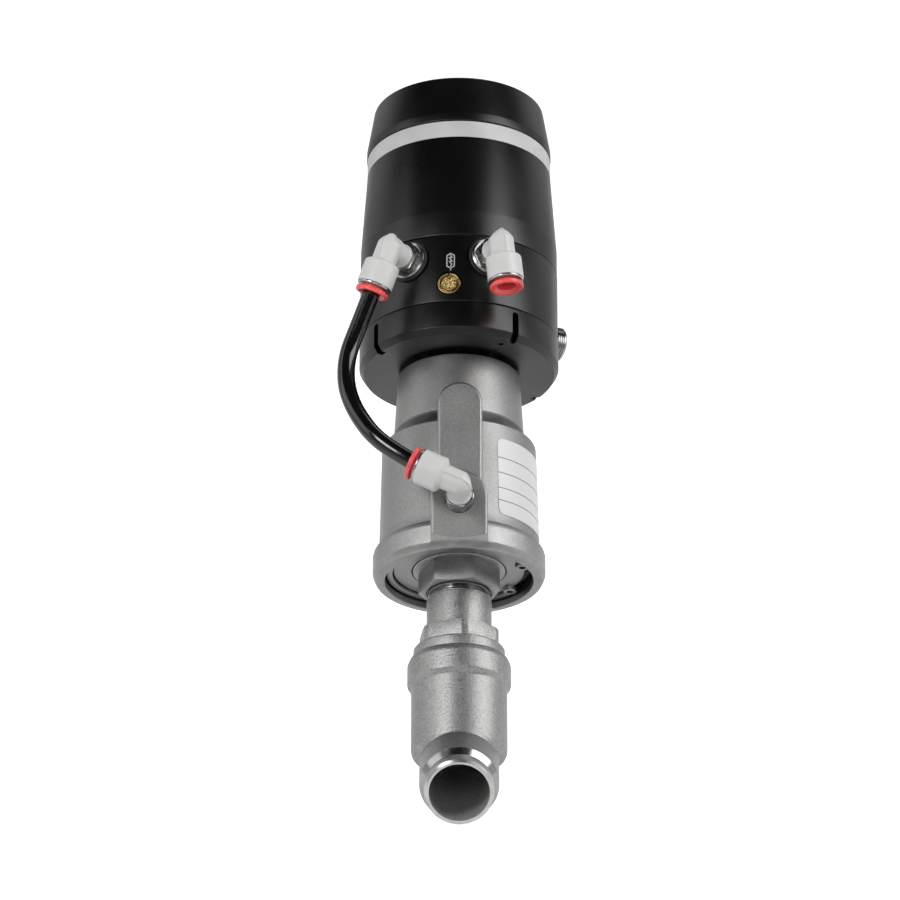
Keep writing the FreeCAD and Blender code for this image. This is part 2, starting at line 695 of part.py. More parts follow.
def bonnet():
    outside = turned(
        [
            (0, BONNET_BOTTOM),
            (BODY_THREAD_R - THREAD_GAP - 0.6, BONNET_BOTTOM),
            (BODY_THREAD_R - THREAD_GAP, BONNET_BOTTOM + 0.6),
            (BODY_THREAD_R - THREAD_GAP, COLLAR_TOP),
            (BONNET_FLANGE_R, COLLAR_TOP, 0.4),
            (BONNET_FLANGE_R, BONNET_FLANGE_TOP, 0.6),
            (NECK_R, BONNET_FLANGE_TOP),
            (NECK_R, NECK_TOP, 0.3),
            (BONNET_SPIGOT_R, NECK_TOP),
            (BONNET_SPIGOT_R, COUPLING_HEX_TOP - 1.0),
            (0, COUPLING_HEX_TOP - 1.0),
        ]
    )
    wrench = hexagon(
        BONNET_HEX_FLATS, BONNET_FLANGE_TOP - TOUCH, BONNET_HEX_TOP, BONNET_CORNER_R, 30 + BONNET_HEX_TURN
    )
    shape = outside.fuse(wrench)
    bush_r = STEM_R + SLIDE_GAP + GUIDE_BUSH_WALL + THREAD_GAP
    shape = shape.cut(rod(bush_r, BONNET_BOTTOM - MOUTH, PACKING_BOTTOM + TOUCH))
    return shape.cut(rod(PACKING_R, PACKING_BOTTOM, COUPLING_HEX_TOP))


def bonnet_gasket():
    return tube(BODY_THREAD_R - THREAD_GAP, CHAMBER_R + 0.1, BODY_THREAD_BOTTOM, BONNET_BOTTOM)


def guide_bush():
    inner = STEM_R + SLIDE_GAP
    return tube(inner + GUIDE_BUSH_WALL, inner, BONNET_BOTTOM + 0.4, PACKING_BOTTOM - 0.4)


def packing_spring():
    mean = (STEM_R + PACKING_R) / 2
    top = PACKING_BOTTOM + PACKING_SPRING_H
    return coil(mean, PACKING_SPRING_WIRE_R, PACKING_BOTTOM, top, PACKING_SPRING_TURNS)


def packing_rings():
    """A stack of V rings between the spring and the gland."""
    bottom = PACKING_BOTTOM + PACKING_SPRING_H
    inner = STEM_R + SLIDE_GAP
    outer = PACKING_R - THREAD_GAP
    middle = (inner + outer) / 2
    top = bottom + PACKING_RINGS * PACKING_RING_H
    left, right = [], []
    for k in range(PACKING_RINGS):
        height = bottom + k * PACKING_RING_H
        left += [(inner, height), (inner + 0.3, height + PACKING_RING_H - 0.4)]
        right += [(outer, height), (outer - 0.3, height + PACKING_RING_H - 0.4)]
    corners = right + [(outer, top), (inner, top)] + left[::-1]
    return turned(corners)


def packing_gland():
    bottom = PACKING_BOTTOM + PACKING_SPRING_H + PACKING_RINGS * PACKING_RING_H
    return tube(PACKING_R - THREAD_GAP, STEM_R + SLIDE_GAP, bottom, COUPLING_HEX_TOP - 1.6)


# Coupling between bonnet and actuator


def coupling_nut():
    flange_top = END_COVER_BOTTOM + COVER_RECESS
    shape = turned(
        [
            (0, COUPLING_HEX_TOP - TOUCH),
            (COUPLING_FLANGE_R - THREAD_GAP, COUPLING_HEX_TOP - TOUCH),
            (COUPLING_FLANGE_R - THREAD_GAP, flange_top),
            (COUPLING_SPIGOT_R, flange_top),
            (COUPLING_SPIGOT_R, COUPLING_TOP),
            (0, COUPLING_TOP),
        ]
    )
    wrench = hexagon(COUPLING_HEX_FLATS, COUPLING_BOTTOM, COUPLING_HEX_TOP, COUPLING_CORNER_R)
    shape = shape.fuse(wrench)
    shape = shape.cut(rod(BONNET_SPIGOT_R + THREAD_GAP, COUPLING_BOTTOM - MOUTH, COUPLING_HEX_TOP - 0.8))
    shape = shape.cut(rod(STEM_R + SLIDE_GAP, COUPLING_BOTTOM, COUPLING_TOP))
    mouth_r = BONNET_SPIGOT_R + THREAD_GAP
    mouth = [(0, COUPLING_BOTTOM - 1.0), (mouth_r + 2.0, COUPLING_BOTTOM - 1.0), (mouth_r, COUPLING_BOTTOM + 1.0)]
    shape = shape.cut(turned(mouth + [(0, COUPLING_BOTTOM + 1.0)]))
    return shape.cut(rod(STEM_SEAL_R, COUPLING_TOP - STEM_SEAL_H, COUPLING_TOP + MOUTH))


def stem_seal():
    return tube(STEM_SEAL_R - THREAD_GAP, STEM_R + TOUCH, COUPLING_TOP - STEM_SEAL_H, COUPLING_TOP - 0.2)


def lock_nut():
    bottom = END_COVER_BOTTOM + END_COVER_H
    nut = hexagon(LOCK_NUT_FLATS, bottom, bottom + LOCK_NUT_H, LOCK_NUT_FLATS * 0.56)
    return nut.cut(rod(COUPLING_SPIGOT_R + THREAD_GAP, bottom - MOUTH, bottom + LOCK_NUT_H + MOUTH))


# Actuator


def pad(flat, width, top, bottom):
    """A flat-faced boss on the front of the cylinder with a round upper end."""
    radius = width / 2
    centre = top - radius
    inner = 15.0
    face = flat - inner
    column = block((width, face, centre - bottom), (0, -(flat + inner) / 2, (centre + bottom) / 2))
    end = Part.makeCylinder(radius, face, V(0, -inner, centre), V(0, -1, 0))
    return column.fuse(end)


def actuator_outside():
    shell = turned(
        [
            (0, RIM_BOTTOM),
            (RIM_BOTTOM_R, RIM_BOTTOM, 1.4),
            (RIM_R, RIM_BOTTOM + 2.6, 2.0),
            (RIM_R, RIM_SHOULDER - 1.1, 0.6),
            (RIM_SHOULDER_R, RIM_SHOULDER, 0.5),
            (CYLINDER_BOTTOM_R + 0.5, RIM_SHOULDER + 1.3, 0.9),
            (CYLINDER_BOTTOM_R, CYLINDER_BOTTOM),
            (CYLINDER_TOP_R, CYLINDER_TOP + 1.2, 1.2),
            (SHOULDER_R, CYLINDER_TOP + 1.5, 0.8),
            (ACTUATOR_NECK_R, CYLINDER_TOP + SHOULDER_H),
            (ACTUATOR_NECK_TOP_R, ACTUATOR_TOP, 0.5),
            (ACTUATOR_SPIGOT_R, ACTUATOR_TOP),
            (ACTUATOR_SPIGOT_R, BASE_BOTTOM + BASE_FLOOR - BASE_RECESS),
            (0, BASE_BOTTOM + BASE_FLOOR - BASE_RECESS),
        ]
    )
    upper = pad(UPPER_PAD_FLAT, UPPER_PAD_W, UPPER_PAD_TOP, LOWER_PAD_TOP - 12.0)
    lower = pad(LOWER_PAD_FLAT, LOWER_PAD_W, LOWER_PAD_TOP, RIM_BOTTOM + 2.6)
    return shell.fuse(upper).fuse(lower)


def actuator_cylinder():
    cover_top = END_COVER_BOTTOM + END_COVER_H
    top = BASE_BOTTOM + BASE_FLOOR
    shell = actuator_outside()
    shell = shell.cut(rod(OPENING_R, RIM_BOTTOM - MOUTH, cover_top))
    shell = shell.cut(rod(SNAP_RING_OUT_R + THREAD_GAP, END_COVER_BOTTOM - SNAP_RING_H - TOUCH, END_COVER_BOTTOM))
    shell = shell.cut(rod(PISTON_BORE_R, cover_top - TOUCH, PISTON_BORE_TOP))
    shell = shell.cut(rod(SPRING_BORE_R, PISTON_BORE_TOP - TOUCH, SPRING_BORE_TOP))
    shell = shell.cut(rod(SPINDLE_HOLE_R, SPRING_BORE_TOP - TOUCH, top))
    groove = SPRING_BORE_TOP + SPINDLE_SEAL_DEPTH
    shell = shell.cut(rod(SPINDLE_HOLE_R + ORING_D, groove, groove + ORING_D))
    shell = shell.cut(base_screw_holes(ACTUATOR_TOP - BASE_SCREW_REACH - 0.2, top, BASE_SCREW_R + THREAD_GAP))
    port = rod(STUD_THREAD_R + THREAD_GAP, -STUD_THREAD_L - 0.2, MOUTH)
    port = port.fuse(rod(STUD_PASSAGE_R, -PORT_DEPTH, 0))
    return shell.cut(placed(port, on_wall(0, ACTUATOR_PORT_HEIGHT, LOWER_PAD_FLAT)))


def spindle_seal():
    middle = SPRING_BORE_TOP + SPINDLE_SEAL_DEPTH + ORING_D / 2
    return round_ring(SPINDLE_HOLE_R + ORING_D / 2, ORING_D / 2 - TOUCH, middle)


def end_cover():
    top = END_COVER_BOTTOM + END_COVER_H
    outer = OPENING_R - THREAD_GAP
    shape = turned(
        [
            (COUPLING_SPIGOT_R + THREAD_GAP, END_COVER_BOTTOM + COVER_RECESS),
            (COUPLING_FLANGE_R + 0.35, END_COVER_BOTTOM + COVER_RECESS),
            (COUPLING_FLANGE_R + 0.35, END_COVER_BOTTOM),
            (outer, END_COVER_BOTTOM),
            (outer, top),
            (COUPLING_SPIGOT_R + THREAD_GAP, top),
        ]
    )
    middle = (END_COVER_BOTTOM + top) / 2
    groove = tube(outer + MOUTH, OPENING_R - ORING_D, middle - ORING_D * 0.6, middle + ORING_D * 0.6)
    return shape.cut(groove)


def cover_seal():
    middle = END_COVER_BOTTOM + END_COVER_H / 2
    return round_ring(OPENING_R - ORING_D / 2 - TOUCH, ORING_D / 2 - TOUCH, middle)


def retaining_ring():
    """An internal circlip with two plier holes beside its gap."""
    bottom = END_COVER_BOTTOM - SNAP_RING_H
    shape = tube(SNAP_RING_OUT_R, SNAP_RING_IN_R, bottom, END_COVER_BOTTOM)
    half = math.radians(SNAP_RING_GAP_DEG / 2)
    reach = 40.0
    points = [
        V(0, 0, bottom - MOUTH),
        V(reach, -reach * math.tan(half), bottom - MOUTH),
        V(reach, reach * math.tan(half), bottom - MOUTH),
        V(0, 0, bottom - MOUTH),
    ]
    wedge = Part.Face(Part.makePolygon(points)).extrude(V(0, 0, SNAP_RING_H + 2 * MOUTH))
    shape = shape.cut(wedge)
    for side in (-1, 1):
        angle = side * (half + 0.03)
        spot = V(SNAP_RING_EAR_AT_R * math.cos(angle), SNAP_RING_EAR_AT_R * math.sin(angle), bottom)
        ear = Part.makeCylinder(SNAP_RING_EAR_R, SNAP_RING_H, spot)
        hole = Part.makeCylinder(SNAP_RING_HOLE_R, SNAP_RING_H + 2 * MOUTH, spot - UP * MOUTH)
        shape = shape.fuse(ear).cut(hole)
    return turned_by(shape, SNAP_RING_TURN)


def piston():
    outer = PISTON_BORE_R - PISTON_GAP
    groove_bottom = (PISTON_BOTTOM + PISTON_TOP - PISTON_GROOVE_H) / 2
    groove_top = groove_bottom + PISTON_GROOVE_H
    bore = STEM_TOP_R + THREAD_GAP
    return turned(
        [
            (bore, HUB_BOTTOM),
            (HUB_R, HUB_BOTTOM),
            (HUB_R, PISTON_BOTTOM),
            (outer - 0.5, PISTON_BOTTOM),
            (outer, PISTON_BOTTOM + 0.5),
            (outer, groove_bottom),
            (PISTON_GROOVE_R, groove_bottom),
            (PISTON_GROOVE_R, groove_top),
            (outer, groove_top),
            (outer, PISTON_TOP),
            (HUB_R, PISTON_TOP),
            (HUB_R, HUB_TOP),
            (bore, HUB_TOP),
        ]
    )


def piston_seal():
    """A lip seal that fills the piston groove and bears on the cylinder wall."""
    bottom = (PISTON_BOTTOM + PISTON_TOP - PISTON_GROOVE_H) / 2 + TOUCH
    top = bottom + PISTON_GROOVE_H - 2 * TOUCH
    return tube(PISTON_BORE_R - TOUCH, PISTON_GROOVE_R + TOUCH, bottom, top)


def piston_nut():
    top = HUB_TOP + PISTON_NUT_H
    nut = hexagon(PISTON_NUT_FLATS, HUB_TOP, top, PISTON_NUT_FLATS * 0.56)
    return nut.cut(rod(STEM_TOP_R + THREAD_GAP, HUB_TOP - MOUTH, top + MOUTH))


def spring_seat():
    outer = SPRING_BORE_R - SPRING_SEAT_GAP
    return tube(outer, HUB_R + THREAD_GAP, PISTON_TOP, PISTON_TOP + SPRING_SEAT_H)


def return_spring():
    return coil(SPRING_MEAN_R, SPRING_WIRE_R, PISTON_TOP + SPRING_SEAT_H, SPRING_BORE_TOP, SPRING_TURNS)


def feedback_spindle():
    return turned(
        [
            (0, STEM_TOP - SPINDLE_FOOT_L + SPINDLE_FOOT_END),
            (SPINDLE_FOOT_R, STEM_TOP - SPINDLE_FOOT_L + SPINDLE_FOOT_END),
            (SPINDLE_FOOT_R, STEM_TOP),
            (SPINDLE_R, STEM_TOP),
            (SPINDLE_R, SPINDLE_TOP, 0.5),
            (0, SPINDLE_TOP),
        ]
    )


def position_magnet():
    shape = rod(MAGNET_R, SPINDLE_TOP - MAGNET_H / 2, SPINDLE_TOP + MAGNET_H / 2)
    return shape.cut(rod(SPINDLE_R + THREAD_GAP, SPINDLE_TOP - MAGNET_H, SPINDLE_TOP + TOUCH))


def name_label():
    """The stuck-on data label, left blank, following the slight draft of the cylinder."""
    lift = LABEL_THICKNESS
    low, high = LABEL_BOTTOM, LABEL_TOP
    slope = (CYLINDER_TOP_R - CYLINDER_BOTTOM_R) / (CYLINDER_TOP + 1.2 - CYLINDER_BOTTOM)
    low_r = CYLINDER_BOTTOM_R + slope * (low - CYLINDER_BOTTOM) + THREAD_GAP
    high_r = CYLINDER_BOTTOM_R + slope * (high - CYLINDER_BOTTOM) + THREAD_GAP
    face = Part.Face(outline([(low_r, low), (low_r + lift, low), (high_r + lift, high), (high_r, high)]))
    return turned_by(face.revolve(ORIGIN, UP, LABEL_SPAN_DEG), LABEL_TURN - 90)


# Positioner


def positioner_base():
    inner = HOUSING_R - HOUSING_WALL - THREAD_GAP - LIP_WALL
    floor_top = BASE_BOTTOM + BASE_FLOOR
    lip_top = HOUSING_BOTTOM + LIP_H
    recess_top = floor_top - BASE_RECESS + SHOULDER_GAP
    shape = turned(
        [
            (SPINDLE_R + 1.0, floor_top),
            (SPINDLE_R + 1.0, recess_top),
            (ACTUATOR_SPIGOT_R + THREAD_GAP, recess_top),
            (ACTUATOR_SPIGOT_R + THREAD_GAP, BASE_BOTTOM),
            (BASE_BOTTOM_R, BASE_BOTTOM, 0.3),
            (BASE_R, BASE_BOTTOM + BASE_CHAMFER_H, 0.3),
            (BASE_R, HOUSING_BOTTOM - PART_LINE - 0.3),
            (BASE_R - 0.3, HOUSING_BOTTOM - PART_LINE),
            (inner + LIP_WALL, HOUSING_BOTTOM - PART_LINE),
            (inner + LIP_WALL, lip_top),
            (inner, lip_top),
            (inner, floor_top),
        ]
    )
    for k in range(SLOT_COUNT):
        shape = shape.cut(turned_by(base_slot(), SLOT_TURN + k * 360 / SLOT_COUNT))
    shape = shape.cut(base_screw_holes(BASE_BOTTOM - MOUTH, floor_top + MOUTH, BASE_SCREW_R + 0.2))
    vent = Part.makeCylinder(VENT_R, VENT_DEPTH + MOUTH, V(0, -VENT_AT_R, BASE_BOTTOM - MOUTH))
    return shape.cut(turned_by(vent, VENT_TURN))


def base_slot():
    """An upright slot in the side of the base, open below, with a round upper end."""
    low = BASE_BOTTOM - MOUTH
    high = SLOT_TOP - SLOT_W / 2
    front = -BASE_R - MOUTH
    back = -BASE_R + SLOT_DEPTH
    cut = block((SLOT_W, back - front, high - low), (0, (front + back) / 2, (low + high) / 2))
    return cut.fuse(Part.makeCylinder(SLOT_W / 2, back - front, V(0, front, high), V(0, 1, 0)))


def base_screw_holes(bottom, top, radius):
    holes = []
    for k in range(BASE_SCREWS):
        angle = math.radians(45 + k * 360 / BASE_SCREWS)
        spot = V(BASE_SCREW_AT_R * math.cos(angle), BASE_SCREW_AT_R * math.sin(angle), bottom)
        holes.append(Part.makeCylinder(radius, top - bottom, spot))
    return Part.makeCompound(holes)


def housing_ports():
    """The two threaded air ports, the silencer port and the connector hole in the housing wall."""
    cuts = []
    for turn in (OUTLET_TURN, SUPPLY_TURN):
        port = rod(STUD_THREAD_R + THREAD_GAP, -STUD_THREAD_L - 0.2, MOUTH)
        port = port.fuse(rod(STUD_PASSAGE_R, -HOUSING_WALL - MOUTH, 0))
        cuts.append(placed(port, on_wall(turn, FITTING_HEIGHT, HOUSING_R)))
    silencer_port = rod(SILENCER_R + SILENCER_RIM, -SILENCER_LENGTH, MOUTH)
    silencer_port = silencer_port.fuse(rod(STUD_PASSAGE_R, -HOUSING_WALL - MOUTH, 0))
    cuts.append(placed(silencer_port, on_wall(SILENCER_TURN, SILENCER_HEIGHT, HOUSING_R)))
    hole = rod(CONNECTOR_REAR_R + THREAD_GAP, -HOUSING_WALL - MOUTH, MOUTH)
    cuts.append(placed(hole, on_wall(CONNECTOR_TURN, CONNECTOR_HEIGHT, HOUSING_R)))
    return cuts


def positioner_housing():
    inner = HOUSING_R - HOUSING_WALL
    lip_outer = COVER_R - SHELL_WALL - THREAD_GAP
    shape = turned(
        [
            (inner, HOUSING_BOTTOM),
            (HOUSING_R - 0.3, HOUSING_BOTTOM),
            (HOUSING_R, HOUSING_BOTTOM + 0.3),
            (HOUSING_R, HOUSING_TOP - PART_LINE - 0.3),
            (HOUSING_R - 0.3, HOUSING_TOP - PART_LINE),
            (lip_outer, HOUSING_TOP - PART_LINE),
            (lip_outer, HOUSING_TOP + LIP_H),
            (lip_outer - LIP_WALL, HOUSING_TOP + LIP_H),
            (lip_outer - LIP_WALL, HOUSING_TOP - PART_LINE),
            (inner, HOUSING_TOP - PART_LINE),
        ]
    )
    for cut in housing_ports():
        shape = shape.cut(cut)
    return shape


def positioner_cover():
    top_inner = COVER_TOP_R - SHELL_WALL
    return turned(
        [
            (COVER_R - SHELL_WALL, HOUSING_TOP),
            (COVER_R - 0.3, HOUSING_TOP),
            (COVER_R, HOUSING_TOP + 0.3),
            (COVER_R, COVER_CONE_BOTTOM),
            (COVER_TOP_R, COVER_TOP),
            (top_inner, COVER_TOP),
            (COVER_R - SHELL_WALL, COVER_CONE_BOTTOM),
        ]
    )


def light_ring():
    lip = COVER_TOP_R - SHELL_WALL - THREAD_GAP
    inner = COVER_TOP_R - LIGHT_RING_WALL - LIGHT_RING_LIP
    return turned(
        [
            (inner, COVER_TOP - LIP_H),
            (lip - 0.1, COVER_TOP - LIP_H),
            (lip - 0.1, COVER_TOP),
            (COVER_TOP_R, COVER_TOP),
            (COVER_TOP_R, LIGHT_RING_TOP),
            (inner, LIGHT_RING_TOP),
        ]
    )


def top_cap():
    """The screw-off lid; its skirt reaches down inside the light ring."""
    inner = COVER_TOP_R - LIGHT_RING_WALL - LIGHT_RING_LIP - SLIDE_GAP
    wall = CAP_SKIRT_WALL
    ceiling = CAP_TOP - CAP_WALL
    return turned(
        [
            (inner - wall, LIGHT_RING_TOP - LIP_H),
            (inner, LIGHT_RING_TOP - LIP_H),
            (inner, LIGHT_RING_TOP + PART_LINE),
            (CAP_R - 0.3, LIGHT_RING_TOP + PART_LINE),
            (CAP_R, LIGHT_RING_TOP + PART_LINE + 0.3),
            (CAP_R, LIGHT_RING_TOP + CAP_BAND_H, 0.5),
            (CAP_TOP_R, CAP_TOP, CAP_ROUND),
            (0, CAP_TOP),
            (0, ceiling),
            (CAP_TOP_R - CAP_WALL, ceiling),
            (inner - wall, LIGHT_RING_TOP + CAP_BAND_H),
        ]
    )


def adapter_screws():
    """Four screws through the base floor into the top of the actuator."""
    floor_top = BASE_BOTTOM + BASE_FLOOR
    shanks = base_screw_holes(ACTUATOR_TOP - BASE_SCREW_REACH, floor_top + TOUCH, BASE_SCREW_R)
    heads = base_screw_holes(floor_top, floor_top + BASE_SCREW_HEAD_H, BASE_SCREW_HEAD_R)
    socket_bottom = floor_top + BASE_SCREW_HEAD_H / 2
    sockets = base_screw_holes(socket_bottom, floor_top + BASE_SCREW_HEAD_H + MOUTH, BASE_SCREW_SOCKET_R)
    screws = [shank.fuse(head) for shank, head in zip(shanks.Solids, heads.Solids)]
    return Part.makeCompound([screw.cut(sockets) for screw in screws])


def control_block():
    """The ring-shaped air manifold with the two small switching valves on top."""
    ring = tube(MANIFOLD_R, SENSOR_R + THREAD_GAP, MANIFOLD_BOTTOM, MANIFOLD_BOTTOM + MANIFOLD_H)
    room = rod(CONNECTOR_REAR_R + CONNECTOR_TAIL, -2 * HOUSING_WALL, 0)
    hole = placed(room, on_wall(CONNECTOR_TURN, CONNECTOR_HEIGHT, HOUSING_R))
    return ring.cut(hole)


def pilot_valve(side):
    width, depth, height = VALVE_BLOCK_SIZE
    bottom = MANIFOLD_BOTTOM + MANIFOLD_H
    shape = block((width, depth, height), (side * VALVE_BLOCK_AT_R, 0, bottom + height / 2))
    return shape.makeFillet(VALVE_BLOCK_ROUND, [e for e in shape.Edges if abs(e.tangentAt(0).z) > 0.9])


def position_sensor():
    return tube(SENSOR_R, SENSOR_BORE_R, SENSOR_BOTTOM, SENSOR_TOP)


def circuit_board():
    shape = rod(BOARD_R, BOARD_BOTTOM, BOARD_BOTTOM + BOARD_H)
    for k in range(STANDOFF_COUNT):
        angle = math.radians(90 + k * 360 / STANDOFF_COUNT)
        spot = V(STANDOFF_AT_R * math.cos(angle), STANDOFF_AT_R * math.sin(angle), BOARD_BOTTOM - MOUTH)
        shape = shape.cut(Part.makeCylinder(STANDOFF_NECK_R + 0.1, BOARD_H + 2 * MOUTH, spot))
    return shape


def standoffs():
    """Posts that carry the circuit board and the key panel above it."""
    bottom = MANIFOLD_BOTTOM + MANIFOLD_H
    posts = []
    for k in range(STANDOFF_COUNT):
        angle = math.radians(90 + k * 360 / STANDOFF_COUNT)
        spot = V(STANDOFF_AT_R * math.cos(angle), STANDOFF_AT_R * math.sin(angle), bottom)
        lower = Part.makeCylinder(STANDOFF_R, BOARD_BOTTOM - bottom, spot)
        neck = Part.makeCylinder(STANDOFF_NECK_R, BOARD_H + 2 * TOUCH, spot + UP * (BOARD_BOTTOM - bottom - TOUCH))
        upper_from = BOARD_BOTTOM + BOARD_H
        upper = Part.makeCylinder(STANDOFF_R, PANEL_BOTTOM - upper_from, spot + UP * (upper_from - bottom))
        posts.append(lower.fuse(neck).fuse(upper))
    return posts


def key_panel():
    radius = COVER_TOP_R - LIGHT_RING_WALL - LIGHT_RING_LIP - CAP_SKIRT_WALL - PANEL_ROOM
    return rod(radius, PANEL_BOTTOM, PANEL_BOTTOM + PANEL_H)


def display():
    width, depth, height = DISPLAY_SIZE
    return block((width, depth, height), (0, DISPLAY_OFFSET, PANEL_BOTTOM + PANEL_H + height / 2))


def keys():
    top = PANEL_BOTTOM + PANEL_H
    return [
        Part.makeCylinder(KEY_R, KEY_H, V(side * KEY_SPACING, KEY_OFFSET, top)) for side in (-1, 0, 1)
    ]


# Electrical connector and silencer


def connector_shell():
    """The M12 plug connector: a threaded sleeve on a thinner neck through the housing wall."""
    front = CONNECTOR_REACH
    back = -HOUSING_WALL - CONNECTOR_TAIL
    shape = turned(
        [
            (0, back),
            (CONNECTOR_REAR_R, back),
            (CONNECTOR_REAR_R, CONNECTOR_RELIEF),
            (CONNECTOR_R, CONNECTOR_RELIEF),
            (CONNECTOR_R, front - CONNECTOR_EDGE),
            (CONNECTOR_R - CONNECTOR_EDGE, front),
            (0, front),
        ]
    )
    shape = shape.cut(rod(CONNECTOR_BORE_R, -CONNECTOR_INSERT_BOTTOM, front + MOUTH))
    return placed(shape, on_wall(CONNECTOR_TURN, CONNECTOR_HEIGHT, HOUSING_R))


def connector_insert():
    shape = rod(CONNECTOR_BORE_R - THREAD_GAP, -CONNECTOR_INSERT_BOTTOM, -CONNECTOR_INSERT_TOP)
    return placed(shape, on_wall(CONNECTOR_TURN, CONNECTOR_HEIGHT, HOUSING_R))


def connector_pins():
    pins = []
    for k in range(CONNECTOR_PINS):
        angle = math.radians(45 + k * 360 / CONNECTOR_PINS)
        spot = V(CONNECTOR_PIN_AT_R * math.cos(angle), CONNECTOR_PIN_AT_R * math.sin(angle), -CONNECTOR_INSERT_TOP)
        reach = CONNECTOR_INSERT_TOP + CONNECTOR_REACH - CONNECTOR_PIN_END
        pins.append(Part.makeCylinder(CONNECTOR_PIN_R, reach, spot))
    place = on_wall(CONNECTOR_TURN, CONNECTOR_HEIGHT, HOUSING_R)
    return Part.makeCompound([placed(pin, place) for pin in pins])


def silencer():
    """A sunk brass silencer: a slotted ring round a sintered core."""
    front = -SILENCER_SINK
    shape = rod(SILENCER_R, -SILENCER_LENGTH + TOUCH, front)
    groove = tube(SILENCER_CORE_R + SILENCER_GROOVE, SILENCER_CORE_R, front - SILENCER_SLOT_W, front + MOUTH)
    shape = shape.cut(groove)
    depth = SILENCER_SLOT_DEPTH
    slot = block((2 * SILENCER_R + MOUTH, SILENCER_SLOT_W, depth), (0, 0, front - depth / 2 + TOUCH))
    shape = shape.cut(slot)
    return placed(shape, on_wall(SILENCER_TURN, SILENCER_HEIGHT, HOUSING_R))


# Push-in elbow fittings


FITTINGS = {
    "outlet": (OUTLET_TURN, FITTING_HEIGHT, HOUSING_R, OUTLET_ARM_TURN),
    "supply": (SUPPLY_TURN, FITTING_HEIGHT, HOUSING_R, SUPPLY_ARM_TURN),
    "actuator": (0.0, ACTUATOR_PORT_HEIGHT, LOWER_PAD_FLAT, ACTUATOR_ARM_TURN),
}


def across(shape):
    """Turns a shape drawn about Z to lie along the elbow's arm at the elbow's height."""
    return placed(shape, FreeCAD.Placement(V(0, 0, ELBOW_HEIGHT), FreeCAD.Rotation(V(0, 1, 0), 90)))


def fitting_seal():
    return turned(
        [
            (STUD_THREAD_R + 0.1, 0),
            (STUD_SEAL_R, 0, 0.3),
            (STUD_SEAL_R, STUD_SEAL_H, 0.3),
            (STUD_THREAD_R + 0.1, STUD_SEAL_H),
        ]
    )


def fitting_stud(flanged):
    """The screwed stud; the one on the actuator is a plain hexagon without flange and O-ring."""
    hex_bottom = STUD_SEAL_H + STUD_FLANGE_H if flanged else 0.0
    hex_top = STUD_SEAL_H + STUD_FLANGE_H + STUD_HEX_H
    neck_top = hex_top + STUD_NECK_L
    shape = turned(
        [
            (0, -STUD_THREAD_L),
            (STUD_THREAD_R - STUD_THREAD_EDGE, -STUD_THREAD_L),
            (STUD_THREAD_R, -STUD_THREAD_L + STUD_THREAD_EDGE),
            (STUD_THREAD_R, hex_bottom - 0.3 if flanged else 0.0),
            (STUD_NECK_R, hex_bottom),
            (STUD_NECK_R, neck_top),
            (0, neck_top),
        ]
    )
    if flanged:
        rim = [
            (0, STUD_SEAL_H),
            (STUD_FLANGE_R, STUD_SEAL_H),
            (STUD_FLANGE_R, hex_bottom - STUD_FLANGE_EDGE),
            (STUD_FLANGE_R - STUD_FLANGE_EDGE, hex_bottom),
            (0, hex_bottom),
        ]
        shape = shape.fuse(turned(rim))
        wrench = hexagon(STUD_HEX_FLATS, hex_bottom - TOUCH, hex_top, STUD_HEX_CORNER_R, STUD_HEX_TURN)
    else:
        wrench = hexagon(PLAIN_STUD_FLATS, 0, hex_top, PLAIN_STUD_CORNER_R, STUD_HEX_TURN)
    shape = shape.fuse(wrench)
    return shape.cut(rod(STUD_PASSAGE_R, -STUD_THREAD_L - MOUTH, neck_top + MOUTH))


def elbow_corner(foot):
    """The mitred corner: a pointed arch seen from the front, bevelled seen from the side."""
    top = ELBOW_HEIGHT + ELBOW_ARM_R
    leg = rod(ELBOW_LEG_R, foot, top)
    arm = across(rod(ELBOW_ARM_R, -ELBOW_APEX, SLEEVE_START))
    leg = leg.common(block((FAR, FAR, FAR), (0, 0, ELBOW_HEIGHT - FAR / 2)))
    far = SLEEVE_START + SLEEVE_NECK
    wide = ELBOW_ARM_R + ELBOW_HAUNCH_STEP
    tip = [V(-ELBOW_APEX, side * ELBOW_TIP_HALF, 0) for side in (1, -1)]
    flank = [V(-ELBOW_APEX * 0.5, side * ELBOW_ARM_R * 0.7, 0) for side in (1, -1)]
    haunch = [V(ELBOW_HAUNCH, side * wide, 0) for side in (1, -1)]
    base = [V(far, side * wide, 0) for side in (1, -1)]
    sides = [
        Part.Arc(tip[0], flank[0], haunch[0]).toShape(),
        Part.makeLine(haunch[0], base[0]),
        Part.makeLine(base[0], base[1]),
        Part.makeLine(base[1], haunch[1]),
        Part.Arc(haunch[1], flank[1], tip[1]).toShape(),
        Part.makeLine(tip[1], tip[0]),
    ]
    arch = Part.Face(Part.Wire(Part.__sortEdges__(sides))).extrude(V(0, 0, top + MOUTH))
    bevel = Part.makeBox(FAR, FAR, FAR, V(-FAR / 2, -FAR / 2, 0))
    lean = FreeCAD.Placement(V(-ELBOW_APEX * 0.55, 0, top), FreeCAD.Rotation(V(0, 1, 0), -ELBOW_BEVEL_DEG))
    return leg.fuse(arm.common(arch)).cut(placed(bevel, lean))


